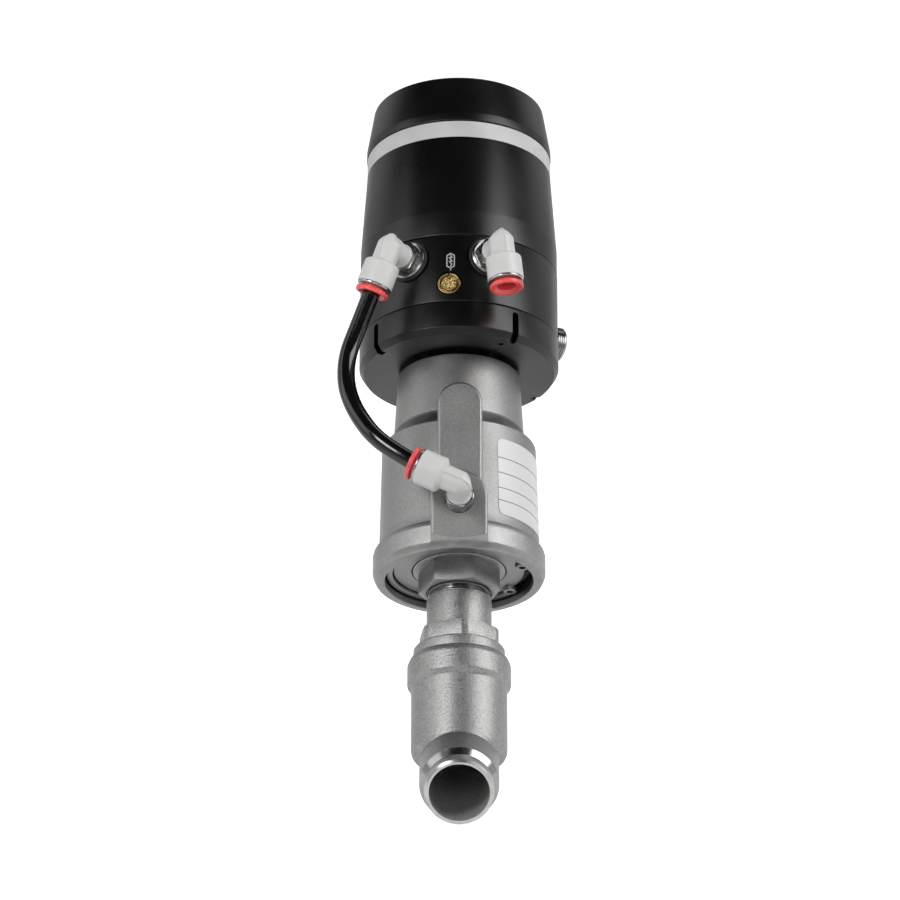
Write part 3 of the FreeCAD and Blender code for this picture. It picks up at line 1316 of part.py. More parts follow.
def fitting_elbow():
    foot = STUD_SEAL_H + STUD_FLANGE_H + STUD_HEX_H + THREAD_GAP
    collar = turned(
        [(0, foot), (ELBOW_FOOT_R, foot, EDGE), (ELBOW_FOOT_R, foot + ELBOW_FOOT_H, EDGE), (0, foot + ELBOW_FOOT_H)]
    )
    sleeve = turned(
        [
            (0, SLEEVE_START - SLEEVE_NECK),
            (ELBOW_ARM_R - EDGE, SLEEVE_START - SLEEVE_NECK),
            (SLEEVE_R, SLEEVE_START + 0.2, SLEEVE_ROUND),
            (SLEEVE_R, SLEEVE_END, EDGE),
            (0, SLEEVE_END),
        ]
    )
    shape = elbow_corner(foot).fuse(collar).fuse(across(sleeve))
    neck_top = foot + STUD_NECK_L
    shape = shape.cut(rod(STUD_NECK_R + SLIDE_GAP, foot - MOUTH, neck_top + SHOULDER_GAP))
    shape = shape.cut(rod(STUD_PASSAGE_R, foot, ELBOW_HEIGHT + MOUTH))
    shape = shape.cut(across(rod(STUD_PASSAGE_R + EDGE, -STUD_PASSAGE_R, TUBE_STOP + TOUCH)))
    shape = shape.cut(across(rod(FIT_BORE_R, TUBE_STOP, SLEEVE_END)))
    return shape.cut(across(rod(SLEEVE_CAVITY_R, SLEEVE_CAVITY_START, SLEEVE_END + MOUTH)))


def fitting_collar():
    return across(
        turned(
            [
                (FIT_COLLAR_IN_R, SLEEVE_END - FIT_COLLAR_TAIL),
                (SLEEVE_CAVITY_R - THREAD_GAP, SLEEVE_END - FIT_COLLAR_TAIL),
                (SLEEVE_CAVITY_R - THREAD_GAP, SLEEVE_END),
                (FIT_COLLAR_R, SLEEVE_END),
                (FIT_COLLAR_R, FIT_COLLAR_END, 0.2),
                (FIT_COLLAR_IN_R, FIT_COLLAR_END),
            ]
        )
    )


def fitting_release_ring():
    return across(
        turned(
            [
                (FIT_BORE_R, RING_NECK_END),
                (RING_NECK_R, RING_NECK_END),
                (RING_NECK_R, RING_BACK),
                (RING_R, RING_BACK, 0.3),
                (RING_R, RING_FRONT, 0.3),
                (FIT_BORE_R + 0.4, RING_FRONT),
                (FIT_BORE_R, RING_FRONT - 0.4),
            ]
        )
    )


# Air tube


def arm_point(name, reach):
    """A point on a fitting's tube axis, measured from the corner of its elbow."""
    return on_wall(*FITTINGS[name]).multVec(V(reach, 0, ELBOW_HEIGHT))


def tube_points():
    start = [arm_point("outlet", TUBE_START), arm_point("outlet", TUBE_START + TUBE_OUTLET_RUN)]
    end = [arm_point("actuator", TUBE_START + TUBE_ACTUATOR_RUN), arm_point("actuator", TUBE_START)]
    return start + [V(*point) for point in TUBE_MIDDLE] + end


def air_tube():
    """Straight runs between the points joined by tangent arcs, then a round section swept along."""
    points = tube_points()
    edges = []
    at = points[0]
    for before, corner, after in zip(points, points[1:], points[2:]):
        back = (before - corner).normalize()
        ahead = (after - corner).normalize()
        half = back.getAngle(ahead) / 2
        reach = ARC_SHARE * min((before - corner).Length, (after - corner).Length)
        radius = reach * math.tan(half)
        entry = corner + back * reach
        leave = corner + ahead * reach
        middle = corner + (back + ahead).normalize() * (radius / math.sin(half) - radius)
        edges.append(Part.LineSegment(at, entry).toShape())
        edges.append(Part.Arc(entry, middle, leave).toShape())
        at = leave
    edges.append(Part.LineSegment(at, points[-1]).toShape())
    first = (points[1] - points[0]).normalize()
    circle = Part.Wire([Part.Circle(points[0], first, TUBE_R).toShape()])
    return Part.Wire(edges).makePipeShell([circle], True, False)


# Everything is placed in the row frame and written out


def all_pieces():
    pieces = {
        "valve_body": valve_body(),
        "plug": plug(),
        "plug_seal": plug_seal(),
        "plug_nut": plug_nut(),
        "stem": stem(),
        "bonnet": bonnet(),
        "bonnet_gasket": bonnet_gasket(),
        "guide_bush": guide_bush(),
        "packing_spring": packing_spring(),
        "packing_rings": packing_rings(),
        "packing_gland": packing_gland(),
        "coupling_nut": coupling_nut(),
        "stem_seal": stem_seal(),
        "lock_nut": lock_nut(),
        "actuator_cylinder": actuator_cylinder(),
        "end_cover": end_cover(),
        "cover_seal": cover_seal(),
        "retaining_ring": retaining_ring(),
        "piston": piston(),
        "piston_seal": piston_seal(),
        "piston_nut": piston_nut(),
        "spring_seat": spring_seat(),
        "return_spring": return_spring(),
        "spindle_seal": spindle_seal(),
        "feedback_spindle": feedback_spindle(),
        "position_magnet": position_magnet(),
        "name_label": name_label(),
        "positioner_base": positioner_base(),
        "adapter_screws": adapter_screws(),
        "positioner_housing": positioner_housing(),
        "positioner_cover": positioner_cover(),
        "light_ring": light_ring(),
        "top_cap": top_cap(),
        "control_block": control_block(),
        "pilot_valves": Part.makeCompound([pilot_valve(-1), pilot_valve(1)]),
        "position_sensor": position_sensor(),
        "circuit_board": circuit_board(),
        "standoffs": Part.makeCompound(standoffs()),
        "key_panel": key_panel(),
        "display_and_keys": Part.makeCompound([display()] + keys()),
        "connector_shell": connector_shell(),
        "connector_insert": connector_insert(),
        "connector_pins": connector_pins(),
        "silencer": silencer(),
        "air_tube": air_tube(),
    }
    for name, seat in FITTINGS.items():
        place = on_wall(*seat)
        flanged = name != "actuator"
        if flanged:
            pieces[name + "_stud_seal"] = placed(fitting_seal(), place)
        pieces[name + "_stud"] = placed(fitting_stud(flanged), place)
        pieces[name + "_elbow"] = placed(fitting_elbow(), place)
        pieces[name + "_collar"] = placed(fitting_collar(), place)
        pieces[name + "_release_ring"] = placed(fitting_release_ring(), place)
    return pieces


os.makedirs("parts", exist_ok=True)
for node, piece in all_pieces().items():
    placed(piece, STEM_TO_ROW).exportStep("parts/%s.step" % node)
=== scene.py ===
"""A pneumatic angle seat valve with its positioner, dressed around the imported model."""

import math

import bmesh
import bpy
from mathutils import Matrix, Vector


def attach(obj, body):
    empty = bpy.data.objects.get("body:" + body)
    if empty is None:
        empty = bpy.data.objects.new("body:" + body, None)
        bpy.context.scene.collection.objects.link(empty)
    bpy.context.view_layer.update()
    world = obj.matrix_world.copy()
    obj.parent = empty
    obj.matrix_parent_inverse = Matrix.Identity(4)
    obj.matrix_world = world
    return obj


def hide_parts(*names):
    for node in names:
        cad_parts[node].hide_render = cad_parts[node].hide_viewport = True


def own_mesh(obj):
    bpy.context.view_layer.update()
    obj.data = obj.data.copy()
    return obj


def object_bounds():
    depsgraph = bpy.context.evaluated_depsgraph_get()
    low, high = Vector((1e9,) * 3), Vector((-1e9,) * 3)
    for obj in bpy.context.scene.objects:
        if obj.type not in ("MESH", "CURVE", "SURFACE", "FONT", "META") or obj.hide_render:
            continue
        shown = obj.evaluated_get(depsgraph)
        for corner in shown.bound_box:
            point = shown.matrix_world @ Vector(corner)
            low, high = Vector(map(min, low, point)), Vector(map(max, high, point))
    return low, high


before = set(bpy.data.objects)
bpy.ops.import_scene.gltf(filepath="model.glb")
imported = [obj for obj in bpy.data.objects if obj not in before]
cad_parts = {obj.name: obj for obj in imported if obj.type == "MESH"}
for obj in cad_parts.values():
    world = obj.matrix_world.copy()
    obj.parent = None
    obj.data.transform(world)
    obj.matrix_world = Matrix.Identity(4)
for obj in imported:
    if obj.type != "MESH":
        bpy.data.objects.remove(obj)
cad_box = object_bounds()

# Lengths are in millimetres until a piece is put in place, which turns them into metres.
# Heights are along the stem, and turns are in degrees.
MM = 0.001

# Body and bonnet
INLET_TO_STEM = 29.5
STEM_LEAN_DEG = 45.0
FACE_TO_FACE = 85.0
BORE_R = 10.0
WELD_R = 11.5
CAST_PIPE_R = 13.15
WELD_STUB = 5.5
WELD_TAPER = 1.75
COLLAR_R = 17.3
COLLAR_BOTTOM = 25.4
COLLAR_TOP = 34.4
BARREL_R = 16.0
BARREL_BOTTOM = -1.7
SEAT_HEIGHT = 6.0
SEAT_PLATE = 2.5
ORIFICE_R = 9.0
CHAMBER_R = 13.0
BODY_THREAD_R = 14.0
BODY_THREAD_BOTTOM = 27.0
BONNET_BORE_R = 8.0
BONNET_PLUG_R = 13.95
BONNET_FLANGE_R = 15.3
BONNET_FLANGE_TOP = 38.3
BONNET_HEX_FLATS = 25.0
BONNET_HEX_CORNER_R = 13.8
BONNET_HEX_TURN = 38.0
BONNET_HEX_TOP = 44.7
NECK_R = 10.9
NECK_TOP = 56.1
SPIGOT_R = 10.2
SPIGOT_TOP = 65.4

# Coupling nut, end plate and cylinder
COUPLING_FLATS = 24.0
COUPLING_CORNER_R = 13.75
COUPLING_TURN = -7.6
COUPLING_BORE_R = 10.55
COUPLING_BOTTOM = 59.2
END_COVER_BOTTOM = 67.2
SNAP_RING_R = 24.3
SNAP_EYE_R = 1.15
CYLINDER_BOTTOM = 77.2
CYLINDER_BOTTOM_R = 26.8
CYLINDER_SHOULDER = 112.2
CYLINDER_TOP_R = 26.0
CYLINDER_NECK_BOTTOM = 116.5
RIM_R = 29.0
RIM_BOTTOM = 63.5
RECESS_R = 24.9
RECESS_TOP = 72.0
PISTON_BORE_R = 24.0
PISTON_BORE_TOP = 109.2
SPRING_BORE_R = 18.6
SPRING_BORE_TOP = 133.5
SPINDLE_BORE_R = 3.1
UPPER_PAD_FACE = 27.0
LOWER_PAD_FACE = 29.6

# Positioner
BASE_BOTTOM = 140.2
BASE_R = 33.9
HOUSING_BOTTOM = 151.9
HOUSING_R = 33.75
HOUSING_TOP = 177.0
COVER_R = 33.65
COVER_CONE_BOTTOM = 186.0
COVER_TOP = 215.6
COVER_TOP_R = 31.55
LIGHT_RING_TOP = 221.7
CAP_R = 31.75
CAP_TOP = 240.0
PART_LINE = 0.25
SLOT_W = 2.5
SLOT_TOP = 150.4
SLOT_TURN = 34.2
PORT_R = 4.9
PORT_DEPTH = 5.6
PORT_HEIGHT = 168.7
OUTLET_TURN = -30.0
SUPPLY_TURN = 17.6
PAD_PORT_HEIGHT = 80.2
SILENCER_TURN = -5.8
SILENCER_HEIGHT = 158.8
CONNECTOR_TURN = 116.0
CONNECTOR_HEIGHT = 160.0
CONNECTOR_R = 6.0
THREAD_PITCH = 0.8

# Elbows and air tube, whose length alone is in metres
ELBOW_HEIGHT = 13.1
ELBOW_APEX = 4.4
ELBOW_ARM_R = 4.2
ELBOW_LEG_R = 3.8
ELBOW_FOOT = 4.85
ELBOW_SLEEVE_R = 6.05
SEAM_BOTTOM = 6.2
SEAM_PROUD = 0.26
SEAM_HALF_W = 0.2
SLEEVE_START = 6.4
SLEEVE_END = 14.3
TUBE_R = 3.0

# STEM places a piece that is drawn with Z up the stem, and PIPE turns Z along the pipe.
STEM = Matrix.Translation((0, INLET_TO_STEM * MM, 0)) @ Matrix.Rotation(
    math.radians(STEM_LEAN_DEG - 90), 4, "X"
)
PIPE = Matrix.Rotation(math.radians(-90), 4, "X")
STEM_INVERSE = Matrix.Rotation(math.radians(90 - STEM_LEAN_DEG), 4, "X") @ Matrix.Translation(
    (0, -INLET_TO_STEM, 0)
)
PIPE_IN_STEM = STEM_INVERSE @ PIPE


# Mesh building


def add_object(name, data):
    """A new object in the scene."""
    piece = bpy.data.objects.new(name, data)
    bpy.context.scene.collection.objects.link(piece)
    return piece


def mesh_object(name, points, faces):
    mesh = bpy.data.meshes.new(name)
    mesh.from_pydata(points, [], faces)
    mesh.update()
    return add_object(name, mesh)


def rounded(corners, steps):
    """The (radius, height) points of a profile, with each rounded corner cut into short steps."""
    points = [Vector(c[:2]) for c in corners]
    out = []
    for i, point in enumerate(points):
        size = corners[i][2] if len(corners[i]) > 2 else 0.0
        if size == 0.0:
            out.append(point)
            continue
        back = (points[i - 1] - point).normalized()
        ahead = (points[(i + 1) % len(points)] - point).normalized()
        half = back.angle(ahead) / 2
        centre = point + (back + ahead).normalized() * size / math.sin(half)
        first = point + back * size / math.tan(half) - centre
        last = point + ahead * size / math.tan(half) - centre
        sweep = first.angle_signed(last)
        for k in range(steps + 1):
            turn = -sweep * k / steps
            cos, sin = math.cos(turn), math.sin(turn)
            spoke = Vector((first.x * cos - first.y * sin, first.x * sin + first.y * cos))
            out.append(centre + spoke)
    return out


def lathe(name, corners, segments=96, steps=5):
    """A solid turned about Z from a closed (radius, height) profile."""
    profile = rounded(corners, steps)
    rings, points, faces = [], [], []
    for spot in profile:
        if spot.x < 1e-6:
            rings.append([len(points)] * segments)
            points.append((0, 0, spot.y))
            continue
        start = len(points)
        for k in range(segments):
            angle = 2 * math.pi * k / segments
            points.append((spot.x * math.cos(angle), spot.x * math.sin(angle), spot.y))
        rings.append(list(range(start, start + segments)))
    for low, high in zip(rings, rings[1:] + rings[:1]):
        for k in range(segments):
            n = (k + 1) % segments
            loop = [low[k], low[n], high[n], high[k]]
            face = [v for j, v in enumerate(loop) if v != loop[j - 1]]
            if len(face) > 2:
                faces.append(face)
    piece = mesh_object(name, points, faces)
    outward(piece)
    return piece


def tube_faces(rings, around):
    """The faces of a skin over rings of points, with a lid at each end."""
    faces = []
    for i in range(rings - 1):
        for k in range(around):
            n = (k + 1) % around
            faces.append([i * around + k, i * around + n, (i + 1) * around + n, (i + 1) * around + k])
    last = (rings - 1) * around
    return faces + [list(range(around)), list(range(last, last + around))]


def outward(piece):
    """Points every face outwards."""
    work = bmesh.new()
    work.from_mesh(piece.data)
    bmesh.ops.remove_doubles(work, verts=work.verts, dist=1e-5)
    bmesh.ops.recalc_face_normals(work, faces=work.faces)
    work.to_mesh(piece.data)
    work.free()


def rod(name, radius, bottom, top, segments=64):
    """An upright round bar."""
    return lathe(name, [(0, bottom), (radius, bottom), (radius, top), (0, top)], segments)


def prism(name, outline, bottom, top):
    """An upright solid on a flat outline of (x, y) points."""
    count = len(outline)
    points = [(x, y, bottom) for x, y in outline] + [(x, y, top) for x, y in outline]
    faces = [list(range(count)), list(range(count, 2 * count))]
    faces += [[k, (k + 1) % count, count + (k + 1) % count, count + k] for k in range(count)]
    piece = mesh_object(name, points, faces)
    outward(piece)
    return piece


def box(name, low, high):
    """A box between two corners."""
    flat = [(low[0], low[1]), (high[0], low[1]), (high[0], high[1]), (low[0], high[1])]
    return prism(name, flat, low[2], high[2])


def bake(piece):
    """Replaces the mesh by what its modifiers make of it."""
    bpy.context.view_layer.update()
    graph = bpy.context.evaluated_depsgraph_get()
    old = piece.data
    piece.data = bpy.data.meshes.new_from_object(piece.evaluated_get(graph))
    piece.modifiers.clear()
    bpy.data.meshes.remove(old)
    return piece


def combine(piece, other, operation):
    """Unites, cuts or intersects with another solid, which is used up."""
    step = piece.modifiers.new("combine", "BOOLEAN")
    step.operation = operation
    step.solver = "EXACT"
    step.object = other
    bake(piece)
    bpy.data.objects.remove(other)
    return piece


def cut(piece, *others):
    """Takes other solids away, which are used up."""
    for other in others:
        combine(piece, other, "DIFFERENCE")
    return piece


def join(name, pieces):
    """One object from several, their meshes only laid together."""
    work = bmesh.new()
    for piece in pieces:
        piece.data.transform(piece.matrix_world)
        work.from_mesh(piece.data)
        bpy.data.objects.remove(piece)
    mesh = bpy.data.meshes.new(name)
    work.to_mesh(mesh)
    work.free()
    return add_object(name, mesh)


def skin(name, pieces, voxel, passes):
    """One cast or moulded skin over overlapping solids, its corners softened by smoothing."""
    joined = join(name, pieces)
    remesh = joined.modifiers.new("skin", "REMESH")
    remesh.mode = "VOXEL"
    remesh.voxel_size = voxel
    soften = joined.modifiers.new("soften", "SMOOTH")
    soften.factor = 0.5
    soften.iterations = passes
    return bake(joined)


def bevel(piece, width, segments, angle):
    """Rounds the edges that are sharper than the angle in degrees."""
    step = piece.modifiers.new("bevel", "BEVEL")
    step.width = width
    step.segments = segments
    step.limit_method = "ANGLE"
    step.angle_limit = math.radians(angle)
    step.harden_normals = False
    return bake(piece)


def turned_to(angle, axis):
    """The matrix of a turn in degrees."""
    return Matrix.Rotation(math.radians(angle), 4, axis)


def moved(piece, matrix):
    """Moves the mesh itself, and leaves the object where it is."""
    piece.data.transform(matrix)
    return piece


def hexagon(name, flats, bottom, top, corner_r, turn, soft):
    """A hexagonal nut, its first corner at turn and its corners turned down to corner_r."""
    reach = flats / math.sqrt(3)
    angles = [math.radians(60 * k + turn) for k in range(6)]
    outline = [(reach * math.cos(angle), reach * math.sin(angle)) for angle in angles]
    nut = prism(name, outline, bottom, top)
    slope = corner_r - flats / 2
    edge = slope * 0.4
    profile = [
        (0, bottom),
        (corner_r - slope, bottom),
        (corner_r, bottom + edge),
        (corner_r, top - edge),
        (corner_r - slope, top),
        (0, top),
    ]
    limit = lathe(name + "_limit", profile, 144)
    combine(nut, limit, "INTERSECT")
    return bevel(nut, soft, 2, 25)


def wall(turn, height, distance, arm_turn=0.0):
    """On a wall: Z points outwards, X down the stem until arm_turn swings it to the left."""
    facing = Matrix(((0, 1, 0, 0), (0, 0, -1, 0), (-1, 0, 0, 0), (0, 0, 0, 1)))
    out = Matrix.Translation((0, -distance, height))
    return turned_to(turn, "Z") @ out @ facing @ turned_to(-arm_turn, "Z")


def put(piece, body, material, place=None, nodes=(), angle=30, faces=(), level=False):
    """Turns a piece drawn in millimetres into one in metres at its place, with finish and body.

    faces lists a second finish and the test on a face's centre and normal that picks its faces.
    A level piece keeps the object's own axes, so that its box is its true size."""
    spot = place.copy() if place is not None else Matrix.Identity(4)
    spot.translation = spot.translation * MM
    piece.data.materials.clear()
    piece.data.materials.append(material)
    piece.data.polygons.foreach_set("material_index", [0] * len(piece.data.polygons))
    for k, (finish, test) in enumerate(faces):
        piece.data.materials.append(finish)
        for polygon in piece.data.polygons:
            if test(polygon.center, polygon.normal):
                polygon.material_index = k + 1
    piece.data.transform(Matrix.Scale(MM, 4))
    piece.matrix_world = Matrix.Identity(4) if level else STEM @ spot
    if level:
        piece.data.transform(STEM @ spot)
    piece.data.polygons.foreach_set("use_smooth", [True] * len(piece.data.polygons))
    piece.data.set_sharp_from_angle(angle=math.radians(angle))
    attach(piece, body)
    if nodes:
        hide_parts(*nodes)
    return piece


# Materials


def shader_node(tree, kind, **values):
    """A new node, with the values of some of its inputs."""
    node = tree.nodes.new("ShaderNode" + kind)
    for socket, value in values.items():
        node.inputs[socket.replace("_", " ")].default_value = value
    return node


class Paint:
    """A small helper to wire the nodes of one material."""

    def __init__(self, name, colour, metallic, roughness, **sockets):
        self.material = bpy.data.materials.new(name)
        self.material.use_nodes = True
        self.tree = self.material.node_tree
        self.shader = self.tree.nodes["Principled BSDF"]
        self.shader.inputs["Base Color"].default_value = (*colour, 1)
        self.shader.inputs["Metallic"].default_value = metallic
        self.shader.inputs["Roughness"].default_value = roughness
        for socket, value in sockets.items():
            self.shader.inputs[socket.replace("_", " ")].default_value = value
        self.place = self.node("TexCoord").outputs["Object"]

    def node(self, kind, **values):
        return shader_node(self.tree, kind, **values)

    def link(self, source, target):
        self.tree.links.new(source, target)

    def noise(self, scale, detail=2.0, stretch=(1, 1, 1), rough=0.5):
        mapping = self.node("Mapping", Scale=stretch)
        self.link(self.place, mapping.inputs["Vector"])
        node = self.node("TexNoise", Scale=scale, Detail=detail, Roughness=rough)
        self.link(mapping.outputs["Vector"], node.inputs["Vector"])
        return node.outputs["Fac"]

    def vary_colour(self, source, first, second, start=0.3, end=0.7):
        ramp = self.node("ValToRGB")
        ramp.color_ramp.elements[0].position = start
        ramp.color_ramp.elements[1].position = end
        ramp.color_ramp.elements[0].color = (*first, 1)
        ramp.color_ramp.elements[1].color = (*second, 1)
        self.link(source, ramp.inputs["Fac"])
        self.link(ramp.outputs["Color"], self.shader.inputs["Base Color"])

    def vary_roughness(self, source, low, high):
        node = self.node("MapRange", From_Min=0.3, From_Max=0.7, To_Min=low, To_Max=high)
        self.link(source, node.inputs["Value"])
        self.link(node.outputs["Result"], self.shader.inputs["Roughness"])

    def bump(self, source, depth_mm, before=None):
        node = self.node("Bump", Strength=1.0, Distance=depth_mm * MM)
        self.link(source, node.inputs["Height"])
        if before is not None:
            self.link(before, node.inputs["Normal"])
        self.link(node.outputs["Normal"], self.shader.inputs["Normal"])
        return node.outputs["Normal"]


def grey(value):
    """A neutral tone, a touch warm."""
    return (value, value, value * 0.99)


def cast_steel():
    """Bead-blasted casting: coarse sparkling grain over faint blotches."""
    paint = Paint("cast_stainless", grey(0.36), 1.0, 0.42)
    grain = paint.noise(1700)
    blotch = paint.noise(170, 3.0)
    paint.vary_colour(grain, grey(0.25), grey(0.44))
    paint.vary_roughness(grain, 0.40, 0.50)
    slow = paint.bump(blotch, 0.06)
    paint.bump(grain, 0.14, slow)
    return paint.material


def satin_steel():
    """The actuator's finer blasted finish, mottled by handling."""
    paint = Paint("blasted_stainless", grey(0.36), 1.0, 0.36)
    grain = paint.noise(2300, 3.0, rough=0.7)
    blotch = paint.noise(110, 4.0, (1, 1, 0.6))
    paint.vary_colour(grain, grey(0.28), grey(0.44))
    paint.vary_roughness(blotch, 0.38, 0.50)
    slow = paint.bump(blotch, 0.07)
    paint.bump(grain, 0.09, slow)
    return paint.material


def milled_steel():
    """Flat faces and bands that a cutter has gone over: darker and smoother than the casting."""
    paint = Paint("milled_stainless", grey(0.40), 1.0, 0.42)
    grain = paint.noise(2100, 3.0, rough=0.7)
    cloud = paint.noise(140, 3.0, (1, 1, 0.5))
    paint.vary_colour(grain, grey(0.28), grey(0.44))
    paint.vary_roughness(cloud, 0.44, 0.56)
    paint.bump(grain, 0.09)
    return paint.material


def bore_steel():
    """The cast wall of the flow path, rough and dull."""
    paint = Paint("bore_stainless", grey(0.30), 0.3, 0.62)
    grain = paint.noise(1300, 3.0, rough=0.7)
    paint.vary_colour(grain, grey(0.26), grey(0.50))
    paint.bump(grain, 0.12)
    return paint.material


def turned_metal(name, dark, light, rough, lines):
    """Metal from the lathe: fine rings about the piece's own axis."""
    middle = [(low + high) / 2 for low, high in zip(dark, light)]
    paint = Paint(name, middle, 1.0, rough)
    rings = paint.noise(lines, 2.0, (0.02, 0.02, 1.0))
    blotch = paint.noise(240)
    paint.vary_colour(blotch, dark, light)
    paint.vary_roughness(blotch, rough - 0.06, rough + 0.08)
    paint.bump(rings, 0.012)
    return paint.material


def turned_steel(name, tone, rough, lines):
    return turned_metal(name, grey(tone * 0.85), grey(tone * 1.12), rough, lines)


def nickel_plating():
    """Bright plating: even, with only faint cloudiness, so that its facets stay crisp."""
    paint = Paint("nickel_plate", grey(0.38), 1.0, 0.24)
    cloud = paint.noise(150)
    paint.vary_colour(cloud, grey(0.34), grey(0.42))
    paint.vary_roughness(cloud, 0.20, 0.28)
    paint.bump(paint.noise(900), 0.004)
    return paint.material


def sintered_brass():
    """The silencer's core: small bronze grains pressed together."""
    paint = Paint("sintered_brass", (0.5, 0.36, 0.15), 1.0, 0.35)
    cells = paint.node("TexVoronoi", Scale=1500)
    paint.link(paint.place, cells.inputs["Vector"])
    grains = cells.outputs["Distance"]
    # The colour is light at each grain's middle and dark between grains: a painted highlight on the grains
    # and painted shade in the gaps.
    paint.vary_colour(grains, (0.95, 0.74, 0.38), (0.34, 0.23, 0.08), 0.15, 0.65)
    paint.bump(grains, -0.30)
    return paint.material


def black_coat():
    """The positioner's satin black coat with its fine even texture."""
    paint = Paint("black_coat", (0.004, 0.004, 0.004), 0.0, 0.34, Specular_IOR_Level=0.5)
    grain = paint.noise(3200, 2.0, rough=0.6)
    blotch = paint.noise(60, 3.0)
    paint.vary_colour(grain, (0.0008, 0.0008, 0.0008), (0.0025, 0.0025, 0.0028))
    paint.vary_roughness(blotch, 0.27, 0.34)
    paint.bump(grain, 0.035)
    return paint.material


def plastic(name, colour, rough, depth=0.01, scale=1200, spread=0.06, **sockets):
    """Moulded plastic or rubber: nearly even colour with a faint surface ripple."""
    paint = Paint(name, colour, 0.0, rough, **sockets)
    ripple = paint.noise(scale)
    slow = paint.noise(120)
    darker = tuple(c * (1 - spread) for c in colour)
    lighter = tuple(min(1.0, c * (1 + spread)) for c in colour)
    paint.vary_colour(slow, darker, lighter)
    paint.vary_roughness(ripple, rough - 0.05, rough + 0.05)
    paint.bump(ripple, depth)
    return paint.material


CAST = cast_steel()
SATIN = satin_steel()
MILLED = milled_steel()
BORE = bore_steel()
TURNED = turned_steel("machined_stainless", 0.55, 0.33, 1400)
POLISHED = turned_steel("polished_stainless", 0.38, 0.19, 2600)
# Dark turned steel that paints shade, on the band under the cylinder's shoulder and on the top edge of the
# bonnet's hexagon.
PAINTED_SHADE_STEEL = turned_steel("groove_stainless", 0.16, 0.40, 1200)
FACED = turned_steel("faced_stainless", 0.32, 0.42, 1200)
NICKEL = nickel_plating()
BRASS = turned_metal("brass", (0.58, 0.42, 0.17), (0.82, 0.64, 0.31), 0.3, 2400)
SINTER = sintered_brass()
BLACK = black_coat()
LIGHT = plastic("light_guide", (0.60, 0.60, 0.60), 0.4, 0.005)
PRINT = plastic("white_print", (0.62, 0.62, 0.62), 0.5, 0.003)
GREY_PLASTIC = plastic("fitting_plastic", (0.71, 0.708, 0.70), 0.36, 0.012, 1500, 0.03)
RED = plastic("red_plastic", (0.95, 0.11, 0.11), 0.28, 0.02, 1800, 0.10)
RUBBER = plastic("black_rubber", (0.012, 0.012, 0.012), 0.5, 0.01)
HOSE = plastic("black_tube", (0.004, 0.004, 0.005), 0.16, 0.004, 500, 0.1, Coat_Weight=0.3)
PTFE = plastic("ptfe", (0.75, 0.74, 0.70), 0.5)
INNER = plastic("inner_plastic", (0.05, 0.05, 0.055), 0.5)
BOARD = plastic("circuit_board", (0.02, 0.10, 0.04), 0.4)
GLASS = plastic("display_glass", (0.02, 0.03, 0.03), 0.1)
SPRING = turned_steel("spring_steel", 0.4, 0.3, 900)

# The finish of each material slot, for the CAD nodes that stay as they are.
SLOT_FINISH = {
    "cast_stainless": CAST,
    "machined_stainless": TURNED,
    "spring_steel": SPRING,
    "ptfe": PTFE,
    "black_rubber": RUBBER,
    "black_housing": BLACK,
    "light_guide": LIGHT,
    "inner_plastic": INNER,
    "circuit_board": BOARD,
    "display_glass": GLASS,
    "nickel_plate": NICKEL,
    "brass": BRASS,
    "fitting_plastic": GREY_PLASTIC,
    "red_plastic": RED,
    "black_tube": HOSE,
}


def maths(tree, operation, *inputs):
    """The output of a Math node whose inputs are numbers or other nodes' outputs."""
    node = tree.nodes.new("ShaderNodeMath")
    node.operation = operation
    for socket, source in zip(node.inputs, inputs):
        if isinstance(source, (int, float)):
            socket.default_value = source
        else:
            tree.links.new(source, socket)
    return node.outputs[0]


def label_paper():
    """White film with thin grey divider lines, and nothing printed between them."""
    paper, ink = (0.80, 0.80, 0.80), (0.16, 0.16, 0.16)
    divider_heights = (99.0, 93.4, 87.8, 83.2)
    divider_half = 0.16
    paint = Paint("blank_label", paper, 0.0, 0.4)
    parts = paint.node("SeparateXYZ")
    paint.link(paint.place, parts.inputs[0])
    mask = 0.0
    for height in divider_heights:
        line = maths(paint.tree, "COMPARE", parts.outputs["Z"], height * MM, divider_half * MM)
        mask = maths(paint.tree, "MAXIMUM", mask, line)
    paint.vary_colour(mask, paper, ink, 0.0, 1.0)
    paint.bump(paint.noise(900), 0.004)
    return paint.material


# Valve body and bonnet


def casting_skin():
    """The outside of the cast body: the barrel about the stem and the pipe across it."""
    profile = [
        (0, BARREL_BOTTOM),
        (BARREL_R, BARREL_BOTTOM, 4.0),
        (BARREL_R, 24.0, 0.5),
        (COLLAR_R, COLLAR_BOTTOM, 0.35),
        (COLLAR_R, 32.2, 0.5),
        (16.4, COLLAR_TOP, 0.3),
        (0, COLLAR_TOP),
    ]
    barrel = lathe("barrel", profile, 160)
    pipe = rod("pipe", CAST_PIPE_R, 2.5, FACE_TO_FACE - 2.5, 128)
    moved(pipe, PIPE_IN_STEM)
    body = skin("valve_casting", [barrel, pipe], 0.32, 4)
    end = WELD_STUB + WELD_TAPER
    for low, high in ((-5.0, end), (FACE_TO_FACE - end, FACE_TO_FACE + 5.0)):
        cut(body, moved(box("trim", (-20, -20, low), (20, 20, high)), PIPE_IN_STEM))
    return body


